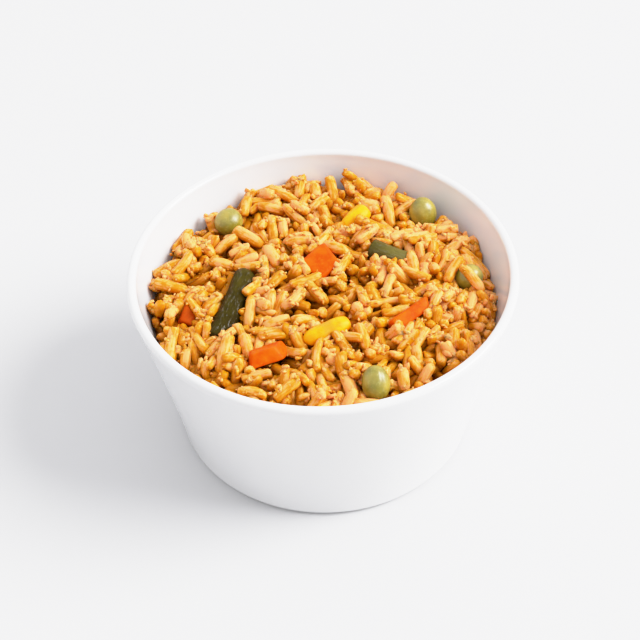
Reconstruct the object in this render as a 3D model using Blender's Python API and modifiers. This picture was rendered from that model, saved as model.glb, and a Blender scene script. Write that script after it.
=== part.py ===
"""A plain white bowl filled with golden rice, peas, sweetcorn, carrot and green bean.

Metres, +Z up. The origin is the middle of the bowl's base, and the front of the bowl faces -Y.
"""
import math
import random

import bmesh
import bpy
from mathutils import Euler, Matrix, Vector, noise
from mathutils.geometry import intersect_line_line

MM = 0.001
OBJECT_NAME = "bowl_of_rice"

# The bowl
RIM_RADIUS = 60.0 * MM
RIM_HEIGHT = 61.8 * MM
WALL = 2.95 * MM
FLOOR = 4.0 * MM
BODY_FOOT_RADIUS = 48.2 * MM
FOOT_ROUNDING = 2.8 * MM
WALL_LEAN = 1.15
INNER_FILLET = 9.0 * MM
FILLET_SHARES = (0.0, 0.12, 0.4, 1.0)
INNER_WALL_SHARE = 0.6
OUTER_WALL_SHARES = (0.72, 0.45, 0.2)
LIP_POINTS = 7
FOOT_POINTS = 4
BOWL_STEPS = 48

# The rice: depths below the rim plane, at each eighth of a turn from +X towards +Y
GAP = 0.3 * MM
SEAT_GAP = 0.36 * MM
MERGE = 0.002 * MM
CENTRE_DEPTH = 6.6 * MM
SHOULDER_RADIUS = 50.0 * MM
SHOULDER_DEPTHS = (9.8, 9.6, 7.8, 9.8, 9.6, 9.8, 8.8, 9.4)
EDGE_DROPS = (8.0, 5.0, 1.5, 1.5, 1.0, 4.0, 2.0, 5.0)
EDGE_START = 0.94
EDGE_WIDTH = 0.14
CORE_SINK = 1.5 * MM
CORE_BUMP = 0.7 * MM
CORE_BUMP_LENGTH = 9.0 * MM
CORE_STEPS = 36
CORE_RINGS = (8, 15, 22, 29, 36, 42, 47, 50.5, 53)
CORE_WALL_DEPTHS = (23, 37)

# The grains on the rice: their form, then how they lie
GRAIN_LENGTH = 8.8 * MM
GRAIN_WIDTH = 3.1 * MM
GRAIN_LENGTH_SHARES = (0.85, 1.15)
GRAIN_WIDTH_SHARES = (0.9, 1.12)
GRAIN_SIDES = 5
GRAIN_TIP = 0.9
GRAIN_FLATNESS = 0.92
GRAIN_BLUNTNESS = 1.3
GRAIN_BENDS = (0.02, 0.10)
GRAIN_COUNT = 214
GRAIN_REACH = 1.06
GRAIN_NUDGE = 0.8 * MM
GRAIN_TRIES = 8
GRAIN_WALL_STEP = 0.1 * MM
GRAIN_STEEPEST = 32.0
GRAIN_ROLL = 25.0
GRAIN_SINK = 0.15
GRAIN_UNEVENNESS = 0.3 * MM
GRAIN_TOP_DEPTH = 4.5 * MM
GRAIN_SEED = 11

# The toppings: middle in millimetres, then heading, rise and roll in degrees.
# A heading of 0 lies along +X, and a rise lifts the end that the heading points to.
PEAS = {
    "pea_back_left": ((-30.3, 32.8, 52.9), (35, 20, 0), (9.4, 9.2)),
    "pea_back_right": ((33.4, 34.0, 53.4), (100, 70, 0), (10.6, 9.0)),
    "pea_right": ((45.8, 3.8, 52.0), (10, 30, 0), (8.8, 8.4)),
    "pea_front": ((14.4, -43.0, 54.9), (95, 50, 0), (10.5, 8.3)),
}
CORN = {
    "corn_back": ((11.2, 31.2, 54.2), (44, 10, 20), (11.4, 6.2, 4.8), 1),
    "corn_middle": ((1.0, -20.8, 54.4), (26, 4, 10), (15.8, 6.0, 5.2), 2),
}
CARROTS = {
    "carrot_middle": ((-0.3, 9.7, 52.9), (40, 12, 8), (10.8, 10.2, 7.0), 0.10),
    "carrot_front": ((-17.2, -29.2, 53.6), (19, 4, -30), (12.4, 5.8, 4.6), 0.30),
    "carrot_right": ((26.0, -14.2, 53.7), (36, 8, 38), (15.4, 4.2, 4.4), 0.12),
    "carrot_left": ((-41.8, -9.8, 50.8), (70, 20, 25), (6.2, 5.0, 4.4), 0.20),
}
BEANS = {
    "bean_left": ((-27.9, -6.6, 52.6), (71.5, 6, 0), 29.0, 7.4, 0.9, True),
    "bean_back": ((21.2, 14.0, 52.9), (-30, -3, 0), 12.4, 6.8, 0.4, False),
}
BALL_COLUMNS = 12
BALL_ROWS = 8
KERNEL_ROWS = 10

# The toppings' forms, as shares of their sizes
PEA_TAPER = 0.05
PEA_DENT = 0.06
KERNEL_SQUARENESS = 0.72
KERNEL_FULLNESS = 0.22
KERNEL_TAPER = 0.14
KERNEL_WAIST = 0.07
KERNEL_WAIST_WIDTH = 0.16
CARROT_BEVEL = 0.09
BEAN_STEPS = 12
BEAN_FLATNESS = 0.92
BEAN_BOW_MIDDLE = 0.4
BEAN_BODY = (0.4, -0.1, -0.6)
BEAN_CUT = ((0.97, 0.93), (0.8, 1.0), (0.0, 1.0))
BEAN_NOSE_ANGLES = (90, 22)
BEAN_NOSE_POINTS = 4

COLOURS = {
    "bowl": ((0.86, 0.86, 0.87), 0.22),
    "rice": ((0.80, 0.47, 0.14), 0.45),
    "pea": ((0.36, 0.42, 0.12), 0.32),
    "corn": ((0.93, 0.60, 0.03), 0.30),
    "carrot": ((0.80, 0.21, 0.02), 0.40),
    "bean": ((0.11, 0.14, 0.04), 0.34),
}


def clear_scene():
    for obj in list(bpy.data.objects):
        bpy.data.objects.remove(obj, do_unlink=True)


def new_collection(name):
    collection = bpy.data.collections.new(name)
    bpy.context.scene.collection.children.link(collection)
    return collection


def material(kind):
    """A Principled material with the sub-part's colour and roughness."""
    colour, roughness = COLOURS[kind]
    made = bpy.data.materials.new(kind)
    made.use_nodes = True
    shader = made.node_tree.nodes["Principled BSDF"]
    shader.inputs["Base Color"].default_value = (*colour, 1.0)
    shader.inputs["Roughness"].default_value = roughness
    shader.inputs["Metallic"].default_value = 0.0
    return made


def place(name, mesh, collection, finish=None):
    obj = bpy.data.objects.new(name, mesh)
    collection.objects.link(obj)
    if finish:
        mesh.materials.append(finish)
    return obj


def mesh_from(bm, name):
    """Turns a bmesh into a smooth shaded mesh, with its faces pointing out."""
    bmesh.ops.recalc_face_normals(bm, faces=bm.faces)
    mesh = bpy.data.meshes.new(name)
    bm.to_mesh(mesh)
    bm.free()
    mesh.shade_smooth()
    return mesh


def applied(obj):
    """The object's mesh with its modifiers applied; the object is removed."""
    graph = bpy.context.evaluated_depsgraph_get()
    mesh = bpy.data.meshes.new_from_object(obj.evaluated_get(graph))
    bpy.data.objects.remove(obj, do_unlink=True)
    return mesh


def turned(name, profile, steps, collection, finish=None):
    """A profile of (radius, height), from the axis over the top and down the outside, turned about Z."""
    mesh = bpy.data.meshes.new(name)
    points = [(radius, 0.0, height) for radius, height in profile]
    edges = [(i, i + 1) for i in range(len(points) - 1)]
    mesh.from_pydata(points, edges, [])
    obj = place(name, mesh, collection, finish)
    screw = obj.modifiers.new("turn", "SCREW")
    screw.axis = "Z"
    screw.steps = steps
    screw.render_steps = steps
    screw.use_merge_vertices = True
    screw.merge_threshold = 0.00001
    screw.use_smooth_shade = True
    return obj


def arc(centre, radius, start, end, count):
    """Points (radius, height) on an arc in the profile plane; 0 degrees is outwards and 90 upwards."""
    points = []
    for i in range(count):
        angle = math.radians(start + (end - start) * i / (count - 1))
        points.append((centre[0] + radius * math.cos(angle), centre[1] + radius * math.sin(angle)))
    return points


def outer_radius(height):
    """The wall leans out from the foot, a little faster towards the rim."""
    low = FOOT_ROUNDING
    high = RIM_HEIGHT - WALL / 2
    share = min(max((height - low) / (high - low), 0.0), 1.0)
    return BODY_FOOT_RADIUS + (RIM_RADIUS - BODY_FOOT_RADIUS) * share**WALL_LEAN


def inner_radius(height):
    """The inside of the wall, rounded where it meets the floor."""
    above = height - FLOOR
    wall = outer_radius(max(height, FLOOR + INNER_FILLET)) - WALL
    if above >= INNER_FILLET:
        return wall
    below = 1.0 - max(above, 0.0) / INNER_FILLET
    return wall - INNER_FILLET * (1.0 - math.sqrt(max(1.0 - below * below, 0.0)))


def make_bowl(collection):
    lip_radius = WALL / 2
    lip = (RIM_RADIUS - lip_radius, RIM_HEIGHT - lip_radius)
    inside = []
    for share in FILLET_SHARES:
        height = FLOOR + INNER_FILLET * share
        inside.append((inner_radius(height), height))
    middle = INNER_WALL_SHARE * RIM_HEIGHT
    inside.append((inner_radius(middle), middle))
    over_the_lip = arc(lip, lip_radius, 180, 0, LIP_POINTS)
    outside = [(outer_radius(share * RIM_HEIGHT), share * RIM_HEIGHT) for share in OUTER_WALL_SHARES]
    foot_centre = (BODY_FOOT_RADIUS - FOOT_ROUNDING, FOOT_ROUNDING)
    foot = arc(foot_centre, FOOT_ROUNDING, 0, -90, FOOT_POINTS)
    profile = [(0.0, FLOOR)] + inside + over_the_lip + outside + foot + [(0.0, 0.0)]
    return turned("bowl", profile, BOWL_STEPS, collection, material("bowl"))


def round_the_bowl(values, angle):
    """Eases between values given at each eighth of a turn."""
    place_on = (angle / math.tau * len(values)) % len(values)
    first = int(place_on)
    share = place_on - first
    eased = share * share * (3.0 - 2.0 * share)
    return MM * (values[first] * (1.0 - eased) + values[(first + 1) % len(values)] * eased)


def heap_height(x, y):
    """The height of the rice: a low dome to its shoulder, then a drop to the wall."""
    radius = math.hypot(x, y)
    angle = math.atan2(y, x)
    share = radius / SHOULDER_RADIUS
    dome = (round_the_bowl(SHOULDER_DEPTHS, angle) - CENTRE_DEPTH) * share**2
    edge = min(max((share - EDGE_START) / EDGE_WIDTH, 0.0), 1.0)
    drop = round_the_bowl(EDGE_DROPS, angle) * edge * edge
    return RIM_HEIGHT - CENTRE_DEPTH - dome - drop


def core_height(x, y):
    """The top of the core: under the heap's surface by the sink, with low bumps."""
    scaled = Vector((x, y, 0.0)) / CORE_BUMP_LENGTH
    return heap_height(x, y) - CORE_SINK + CORE_BUMP * noise.noise(scaled)


def fits_at(height):
    """The largest radius at this height that keeps the gap to the faceted wall of the bowl."""
    return inner_radius(height) * math.cos(math.pi / BOWL_STEPS) - GAP


def rice_core(collection):
    """The smaller core: it fills the bowl up to just under the grains, and its top is uneven."""
    bottom = FLOOR + GAP
    top = [(ring * MM, RIM_HEIGHT - CENTRE_DEPTH) for ring in (0,) + CORE_RINGS]
    side = [(fits_at(RIM_HEIGHT - depth * MM), RIM_HEIGHT - depth * MM) for depth in CORE_WALL_DEPTHS]
    low = [
        (fits_at(FLOOR + share * INNER_FILLET), bottom + share * INNER_FILLET)
        for share in reversed(FILLET_SHARES)
    ]
    mesh = applied(turned("rice_core", top + side + low + [(0.0, bottom)], CORE_STEPS, collection))
    for vertex in mesh.vertices:
        if vertex.co.z < RIM_HEIGHT - CENTRE_DEPTH - GAP:
            continue
        vertex.co.z = core_height(vertex.co.x, vertex.co.y)
        radius = math.hypot(vertex.co.x, vertex.co.y)
        if radius > fits_at(vertex.co.z):
            shrink = fits_at(vertex.co.z) / radius
            vertex.co.x *= shrink
            vertex.co.y *= shrink
    return mesh


def turn_of(angles):
    """The rotation that rolls a piece about X, lifts its +X end by the rise and turns it to its heading."""
    heading, rise, roll = (math.radians(angle) for angle in angles)
    return Euler((roll, -rise, heading), "XYZ").to_matrix()


def seated(bm, middle, angles):
    """Turns a piece modelled along +X and moves it to its place."""
    bmesh.ops.transform(bm, matrix=turn_of(angles).to_4x4(), verts=bm.verts)
    bmesh.ops.translate(bm, vec=Vector(middle) * MM, verts=bm.verts)
    return bm


def ball_along_x(length, width, thickness, columns=BALL_COLUMNS, rows=BALL_ROWS):
    """A sphere with its poles on the X axis, stretched to a length, width and thickness."""
    bm = bmesh.new()
    bmesh.ops.create_uvsphere(bm, u_segments=columns, v_segments=rows, radius=0.5)
    bmesh.ops.rotate(bm, cent=(0, 0, 0), matrix=Matrix.Rotation(math.pi / 2, 3, "Y"), verts=bm.verts)
    bmesh.ops.scale(bm, vec=(length, width, thickness), verts=bm.verts)
    return bm


def pea_shape(sizes):
    """A pea: nearly round, with a shallow dent where its skin has shrunk."""
    length, width = (size * MM for size in sizes)
    bm = ball_along_x(length, width, width)
    for vertex in bm.verts:
        along = vertex.co.x / (length / 2)
        vertex.co.y *= 1.0 - PEA_TAPER * along
        if vertex.co.z > 0:
            vertex.co.z *= 1.0 - PEA_DENT * (1.0 - along * along)
    return bm


def corn_shape(sizes, lobes):
    """A kernel: squared off at its crown and narrower at its root; two that grew together have a waist."""
    length, width, thickness = (size * MM for size in sizes)
    bm = ball_along_x(length, width, thickness, rows=KERNEL_ROWS)
    for vertex in bm.verts:
        along = vertex.co.x / (length / 2)
        squared = math.copysign(abs(along) ** KERNEL_SQUARENESS, along)
        vertex.co.x = squared * length / 2
        fuller = 1.0 + KERNEL_FULLNESS * along**2
        taper = 1.0 + KERNEL_TAPER * squared
        if lobes == 2:
            taper = 1.0 - KERNEL_WAIST * math.exp(-((squared / KERNEL_WAIST_WIDTH) ** 2))
        vertex.co.y *= fuller * taper
        vertex.co.z *= fuller * (0.5 + 0.5 * taper)
    return bm


def carrot_shape(sizes, slant):
    """A dice or strip of carrot: a box whose top leans and whose far end is cut at a slant."""
    length, width, thickness = (size * MM for size in sizes)
    bm = bmesh.new()
    bmesh.ops.create_cube(bm, size=1.0)
    bmesh.ops.scale(bm, vec=(length, width, thickness), verts=bm.verts)
    for vertex in bm.verts:
        upper = vertex.co.z > 0
        near = vertex.co.x > 0
        side = math.copysign(1.0, vertex.co.y)
        if upper:
            vertex.co.x *= 1.0 - slant
            vertex.co.y *= 1.0 - 0.5 * slant
        if near:
            vertex.co.x += side * slant * width
    bmesh.ops.bevel(
        bm,
        geom=bm.edges[:],
        offset=CARROT_BEVEL * min(width, thickness),
        segments=1,
        affect="EDGES",
        profile=0.5,
    )
    return bm


def bean_shape(length, width, bow, round_end, collection):
    """A cut length of green bean: a turned form, cut flat at one end or both, bowed along its length."""
    radius = 0.5 * width * MM
    half = 0.5 * length * MM
    cut = [(across * radius, -along * half) for across, along in BEAN_CUT]
    if round_end:
        nose = arc((0.0, half - radius), radius, *BEAN_NOSE_ANGLES, BEAN_NOSE_POINTS)
        body = [(radius, share * half) for share in BEAN_BODY]
    else:
        nose = [(across, -along) for across, along in reversed(cut)]
        body = [(radius, 0.0)]
    mesh = applied(turned("bean_form", nose + body + cut, BEAN_STEPS, collection))
    bm = bmesh.new()
    bm.from_mesh(mesh)
    bpy.data.meshes.remove(mesh)
    bmesh.ops.rotate(bm, cent=(0, 0, 0), matrix=Matrix.Rotation(math.pi / 2, 3, "Y"), verts=bm.verts)
    for vertex in bm.verts:
        along = vertex.co.x / half
        vertex.co.z *= BEAN_FLATNESS
        vertex.co.y += bow * MM * (along * along - BEAN_BOW_MIDDLE)
    return bm


def make_toppings(collection, helpers):
    """Builds each topping, and for each a slightly larger cutter that seats it in the rice."""
    forms = []
    for name, (middle, angles, sizes) in PEAS.items():
        forms.append((name, "pea", seated(pea_shape(sizes), middle, angles)))
    for name, (middle, angles, sizes, lobes) in CORN.items():
        forms.append((name, "corn", seated(corn_shape(sizes, lobes), middle, angles)))
    for name, (middle, angles, sizes, slant) in CARROTS.items():
        forms.append((name, "carrot", seated(carrot_shape(sizes, slant), middle, angles)))
    for name, (middle, angles, length, width, bow, round_end) in BEANS.items():
        form = bean_shape(length, width, bow, round_end, helpers)
        forms.append((name, "bean", seated(form, middle, angles)))
    finishes = {kind: material(kind) for kind in ("pea", "corn", "carrot", "bean")}
    for name, kind, bm in forms:
        bmesh.ops.recalc_face_normals(bm, faces=bm.faces)
        bm.normal_update()
        larger = bm.copy()
        for vertex in larger.verts:
            vertex.co += vertex.normal * vertex.calc_shell_factor() * SEAT_GAP
        cutter = place(name + "_seat", mesh_from(larger, name + "_seat"), helpers)
        cutter.hide_render = True
        cutter.display_type = "WIRE"
        place(name, mesh_from(bm, name), collection, finishes[kind])


def topping_spines():
    """For each topping its axis, as two ends, and the half width to keep clear of it."""
    spines = []
    longish = [(middle, angles, sizes[0], sizes[1]) for middle, angles, sizes in PEAS.values()]
    longish += [(middle, angles, sizes[0], sizes[1]) for middle, angles, sizes, _ in CORN.values()]
    longish += [(middle, angles, sizes[0], max(sizes[1:])) for middle, angles, sizes, _ in CARROTS.values()]
    longish += [(middle, angles, length, width) for middle, angles, length, width, _, _ in BEANS.values()]
    for middle, angles, length, width in longish:
        reach = turn_of(angles) @ Vector((0.5 * max(length - width, 0.1) * MM, 0.0, 0.0))
        centre = Vector(middle) * MM
        spines.append((centre - reach, centre + reach, 0.5 * width * MM))
    return spines


def apart(first, second):
    """The distance between two straight stretches, each given by its ends."""
    best = min(
        to_stretch(point, *other)
        for point, other in ((first[0], second), (first[1], second), (second[0], first), (second[1], first))
    )
    crossing = intersect_line_line(*first, *second)
    if crossing:
        on_first, on_second = crossing
        inside = to_stretch(on_first, *first) + to_stretch(on_second, *second)
        if inside < 0.01 * MM:
            best = min(best, (on_first - on_second).length)
    return best


def to_stretch(point, start, end):
    """The distance from a point to a straight stretch."""
    run = end - start
    share = min(max((point - start).dot(run) / run.length_squared, 0.0), 1.0)
    return (point - start - run * share).length


def grain_form(draw):
    """One grain: a ball with few sides, drawn out, its ends blunt, bent a little along its length."""
    length = GRAIN_LENGTH * draw.uniform(*GRAIN_LENGTH_SHARES)
    width = GRAIN_WIDTH * draw.uniform(*GRAIN_WIDTH_SHARES)
    fuller = width / math.sin(math.pi / 3)
    bm = ball_along_x(length, fuller, GRAIN_FLATNESS * fuller, columns=GRAIN_SIDES, rows=3)
    bend = draw.uniform(*GRAIN_BENDS) * length
    for vertex in bm.verts:
        along = vertex.co.x / (length / 2)
        at_the_tip = abs(along) > GRAIN_TIP
        if not at_the_tip:
            vertex.co.x *= GRAIN_BLUNTNESS
        vertex.co.z -= bend * along * along
    return bm, length, width


def lay_grain(draw, x, y, spines):
    """A grain laid on the heap: moved in from the wall and kept below the rim, or none if on a topping."""
    bm, length, width = grain_form(draw)
    heading = draw.uniform(0.0, 360.0)
    rise = draw.triangular(-GRAIN_STEEPEST, GRAIN_STEEPEST, 0.0)
    turn = turn_of((heading, rise, draw.uniform(-GRAIN_ROLL, GRAIN_ROLL)))
    bmesh.ops.transform(bm, matrix=turn.to_4x4(), verts=bm.verts)
    unevenness = draw.uniform(-GRAIN_UNEVENNESS, GRAIN_UNEVENNESS)
    middle = Vector((x, y, heap_height(x, y) - GRAIN_SINK * width + unevenness))
    highest = max(vertex.co.z for vertex in bm.verts)
    middle.z = min(middle.z, RIM_HEIGHT - GRAIN_TOP_DEPTH - highest)
    for _ in range(3):
        over = max(
            math.hypot(v.co.x + middle.x, v.co.y + middle.y) - fits_at(v.co.z + middle.z)
            for v in bm.verts
        )
        if over > 0:
            outwards = Vector((middle.x, middle.y, 0.0)).normalized()
            middle -= outwards * (over + GRAIN_WALL_STEP)
    reach = turn @ Vector((0.5 * (length - width), 0.0, 0.0))
    for start, end, half_width in spines:
        if apart((middle - reach, middle + reach), (start, end)) < half_width + 0.5 * width + GAP:
            bm.free()
            return None
    bmesh.ops.translate(bm, vec=middle, verts=bm.verts)
    return bm


def grain_places(draw):
    """Evenly spread points, on a sunflower spiral out to the wall, each nudged a little."""
    outermost = GRAIN_REACH * SHOULDER_RADIUS
    golden = math.pi * (3.0 - math.sqrt(5.0))
    for i in range(GRAIN_COUNT):
        radius = outermost * math.sqrt((i + 0.5) / GRAIN_COUNT)
        angle = i * golden
        yield (
            radius * math.cos(angle) + draw.uniform(-GRAIN_NUDGE, GRAIN_NUDGE),
            radius * math.sin(angle) + draw.uniform(-GRAIN_NUDGE, GRAIN_NUDGE),
        )


def largest_body(mesh):
    """Keeps the largest connected body, and drops loose scraps and shells round sealed hollows."""
    bm = bmesh.new()
    bm.from_mesh(mesh)
    bmesh.ops.remove_doubles(bm, verts=bm.verts, dist=MERGE)
    bmesh.ops.triangulate(bm, faces=bm.faces)
    unseen = set(bm.verts)
    bodies = []
    while unseen:
        body = []
        edge_of_search = [unseen.pop()]
        while edge_of_search:
            vertex = edge_of_search.pop()
            body.append(vertex)
            for edge in vertex.link_edges:
                other = edge.other_vert(vertex)
                if other in unseen:
                    unseen.discard(other)
                    edge_of_search.append(other)
        bodies.append(body)
    bodies.sort(key=len)
    for body in bodies[:-1]:
        bmesh.ops.delete(bm, geom=body, context="VERTS")
    bm.to_mesh(mesh)
    bm.free()


def boolean(obj, operation, pieces):
    """One Boolean of an object with a whole collection, applied; the collection is then removed. The
    hundreds of grains that cross each other need the manifold solver."""
    modifier = obj.modifiers.new(operation.lower(), "BOOLEAN")
    modifier.operation = operation
    modifier.operand_type = "COLLECTION"
    modifier.collection = pieces
    modifier.solver = "MANIFOLD"
    name = obj.name
    mesh = applied(obj)
    for piece in list(pieces.objects):
        bpy.data.objects.remove(piece, do_unlink=True)
    bpy.data.collections.remove(pieces)
    return place(name, mesh, bpy.context.scene.collection)


def make_rice(collection, seats):
    """The rice as one solid: grains fused on a core, cut back where the toppings sit."""
    draw = random.Random(GRAIN_SEED)
    grains = new_collection("grains")
    rice = place("rice_blank", rice_core(grains), bpy.context.scene.collection)
    spines = topping_spines()
    for x, y in grain_places(draw):
        tries = (lay_grain(draw, x, y, spines) for _ in range(GRAIN_TRIES))
        grain = next(filter(None, tries), None)
        if grain:
            place("grain", mesh_from(grain, "grain"), grains)
    rice = boolean(rice, "UNION", grains)
    rice = boolean(rice, "DIFFERENCE", seats)
    mesh = rice.data
    bpy.data.objects.remove(rice, do_unlink=True)
    largest_body(mesh)
    mesh.materials.clear()
    mesh.name = "rice"
    return place("rice", mesh, collection, material("rice"))


def main():
    clear_scene()
    parts = new_collection(OBJECT_NAME)
    seats = new_collection("seats")
    make_bowl(parts)
    make_toppings(parts, seats)
    make_rice(parts, seats)


main()
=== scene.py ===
"""The looks of a bowl of rice: a white glazed bowl of golden rice with peas, corn, carrot and green bean.

Run as a script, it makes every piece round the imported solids, then the stage and the camera.
Shapes are worked out in millimetres and enter the meshes in metres. +Z is up, the front faces -Y.
"""
import functools
import math

import bpy
import numpy as np
from bpy.props import FloatProperty, FloatVectorProperty, IntProperty, PointerProperty
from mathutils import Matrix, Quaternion, Vector


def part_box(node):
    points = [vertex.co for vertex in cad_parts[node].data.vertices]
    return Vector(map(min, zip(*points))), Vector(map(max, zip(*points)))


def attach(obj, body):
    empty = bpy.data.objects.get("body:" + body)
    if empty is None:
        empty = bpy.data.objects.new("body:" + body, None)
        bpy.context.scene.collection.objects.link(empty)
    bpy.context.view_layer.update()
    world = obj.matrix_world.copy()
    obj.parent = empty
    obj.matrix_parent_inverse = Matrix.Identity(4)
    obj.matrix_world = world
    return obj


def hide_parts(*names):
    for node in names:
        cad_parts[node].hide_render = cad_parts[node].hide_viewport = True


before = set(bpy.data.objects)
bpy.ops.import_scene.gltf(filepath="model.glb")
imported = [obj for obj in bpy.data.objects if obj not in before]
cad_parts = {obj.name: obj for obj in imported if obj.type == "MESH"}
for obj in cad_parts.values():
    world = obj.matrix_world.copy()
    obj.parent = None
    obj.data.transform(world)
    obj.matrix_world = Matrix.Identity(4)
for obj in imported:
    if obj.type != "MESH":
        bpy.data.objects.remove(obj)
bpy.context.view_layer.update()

bl_info = {
    "name": "Bowl of Rice",
    "version": (1, 0, 0),
    "blender": (4, 5, 0),
    "location": "View3D > Sidebar > Rice",
    "description": "Makes a white bowl filled with golden rice and vegetables",
    "category": "Object",
}

BOWL_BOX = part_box("bowl")
MM = 0.001
BODY = "root"

# The bowl's form, in millimetres
RIM_RADIUS = BOWL_BOX[1].x / MM
RIM_HEIGHT = 61.8
WALL = 2.95
FLOOR = 4.0
FOOT_RADIUS = 48.2
FOOT_ROUNDING = 2.8
WALL_LEAN = 1.15
INNER_FILLET = 9.0
GAP = 0.3
BOWL_COLUMNS = 192
RIM_WOBBLE = 0.05

# The heap's form: depths below the rim at each eighth of a turn, from +X towards +Y
CENTRE_DEPTH = 6.6
SHOULDER_RADIUS = 50.0
SHOULDER_DEPTHS = (9.8, 9.6, 7.8, 9.8, 9.6, 9.8, 8.8, 9.4)
EDGE_DROPS = (8.0, 5.0, 1.5, 1.5, 1.0, 4.0, 2.0, 5.0)
EDGE_START = 0.94
EDGE_SPAN = 0.14
TOP_DEPTH = 4.4

# The core under the grains: how far below the rim its wide part and its straight side end
CORE_COLUMNS = 180
CORE_EDGE_DEPTH = 18.0
CORE_SIDE_DEPTH = 26.0

# The grid of directions that a round vegetable is made on
BALL_ROWS = 48
BALL_SIDES = 64

# The vegetables: middle, then heading, rise and roll in degrees, then sizes
PEAS = {
    "pea_back_left": ((-30.3, 32.8, 52.9), (35, 20, 0), (9.4, 9.2)),
    "pea_back_right": ((33.4, 34.0, 53.4), (100, 70, 0), (10.6, 9.0)),
    "pea_right": ((45.8, 3.8, 52.0), (10, 30, 0), (8.8, 8.4)),
    "pea_front": ((14.4, -43.0, 54.9), (95, 50, 0), (10.5, 8.3)),
}
CORN = {
    "corn_back": ((11.2, 31.2, 54.2), (44, 10, 20), (11.4, 6.2, 4.8), 1),
    "corn_middle": ((1.0, -20.8, 54.4), (26, 4, 10), (15.8, 6.0, 5.2), 2),
}
CARROTS = {
    "carrot_middle": ((-0.3, 9.7, 52.9), (40, 12, 8), (10.8, 10.2, 7.0), 0.10),
    "carrot_front": ((-17.2, -29.2, 53.6), (19, 4, -30), (12.4, 5.8, 4.6), 0.30),
    "carrot_right": ((26.0, -14.2, 53.7), (36, 8, 38), (15.4, 4.2, 4.4), 0.12),
    "carrot_left": ((-41.8, -9.8, 50.8), (70, 20, 25), (6.2, 5.0, 4.4), 0.20),
}
BEANS = {
    "bean_left": ((-27.9, -6.6, 52.6), (71.5, 6, 0), (29.0, 7.4), 0.9, True),
    "bean_back": ((21.2, 14.0, 52.9), (-30, -3, 0), (12.4, 6.8), 0.4, False),
}

VEGETABLES = {**PEAS, **CORN, **CARROTS, **BEANS}

# How far some of them are taken as sunk in a hollow, which darkens their colour with painted shade
SUNK = {"carrot_left": 7.5, "bean_left": 2.8}

# The hollows that show between the grains: middle, width and depth
HOLLOWS = (
    (-37.5, 3.1, 3.2, 3.0),
    (-13.6, -35.4, 3.4, 3.5),
    (-17.2, -23.3, 2.6, 2.5),
    (-24.6, 32.0, 3.4, 3.0),
    (-11.2, 27.9, 2.6, 2.5),
    (4.3, 36.8, 2.4, 2.0),
    (12.9, 13.6, 2.2, 3.5),
    (24.8, -19.9, 2.4, 2.5),
    (19.3, -37.5, 2.8, 3.0),
    (-41.8, -15.5, 2.6, 2.5),
    (-1.1, -5.2, 3.0, 1.5),
)

# The grains that lie clear on top, laid one by one: middle, angles, then length and width
LAID_BEND = 0.6
LAID_LIFT = 0.2
LAID_GRAINS = (
    ((4.0, 45.5, 53.7), (-79, -24, 0), (11.6, 2.9)),
    ((9.8, 49.6, 53.0), (-56, -20, 0), (7.3, 2.7)),
    ((-11.8, 44.1, 54.0), (-31, -12, 0), (11.2, 2.9)),
    ((-18.6, 47.4, 52.6), (34, 14, 0), (7.5, 2.6)),
    ((-16.2, 38.1, 53.5), (-17, -7, 0), (8.9, 2.7)),
    ((-15.9, 27.1, 54.3), (-85, -24, 0), (8.7, 2.7)),
    ((-5.9, 19.3, 55.1), (-2, -1, 0), (10.5, 2.6)),
    ((-23.4, 23.6, 53.9), (-32, -13, 0), (10.2, 3.0)),
    ((-1.7, 44.3, 54.3), (-83, -24, 0), (7.5, 3.0)),
    ((-12.4, 27.0, 54.4), (-83, -24, 0), (6.9, 2.6)),
    ((-36.7, 19.3, 53.0), (-52, -19, 0), (7.0, 2.6)),
    ((22.1, 34.8, 53.7), (-80, -24, 0), (11.6, 2.9)),
    ((23.0, 45.0, 54.0), (52, 28, 0), (6.3, 2.7)),
    ((19.9, 23.1, 54.1), (6, 3, 0), (5.4, 2.5)),
    ((42.8, 18.2, 52.5), (32, 13, 0), (9.3, 2.7)),
    ((40.1, 22.7, 52.2), (4, 2, 0), (7.0, 2.5)),
    ((46.4, 0.6, 54.4), (-54, -19, 0), (10.3, 2.6)),
    ((28.5, 7.0, 53.7), (-83, -24, 0), (11.6, 3.0)),
    ((35.2, 14.5, 53.5), (-91, -24, 0), (7.1, 2.7)),
    ((-22.5, -10.8, 54.0), (-96, -24, 0), (10.8, 2.6)),
    ((-31.0, -23.2, 53.3), (43, 16, 0), (11.6, 2.3)),
    ((-29.7, -28.0, 53.4), (75, 23, 0), (11.6, 3.2)),
    ((-48.8, 11.7, 51.8), (25, 10, 0), (10.0, 3.2)),
    ((-47.1, 2.3, 52.5), (-17, -7, 0), (11.6, 2.9)),
    ((-15.6, -21.7, 54.3), (5, 2, 0), (7.8, 2.7)),
    ((-11.2, -42.9, 53.3), (36, 14, 0), (8.7, 2.8)),
    ((6.8, -43.0, 53.6), (-70, -23, 0), (9.3, 2.8)),
    ((22.5, -40.2, 53.1), (-84, -24, 0), (6.7, 2.6)),
    ((-42.4, 16.1, 52.7), (-55, -20, 0), (6.4, 2.6)),
    ((-31.4, 11.3, 53.7), (-17, -7, 0), (7.8, 2.6)),
    ((-38.0, -4.1, 53.3), (57, 20, 0), (5.9, 2.7)),
    ((-34.2, -6.2, 53.6), (44, 17, 0), (7.4, 2.5)),
    ((-15.1, 1.1, 54.9), (40, 16, 0), (8.1, 2.6)),
    ((-14.4, -16.3, 54.5), (18, 7, 0), (8.1, 2.7)),
)

# A grain's form: where its rings lie between its tips, at -1 and 1, and shares of its length and width
GRAIN_ROWS = (-1.0, -0.985, -0.88, -0.6, -0.2, 0.2, 0.6, 0.88, 0.985, 1.0)
GRAIN_SIDES = 9
HALF_LENGTH_SHARE = 0.53
RADIUS_SHARE = 0.65

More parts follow.
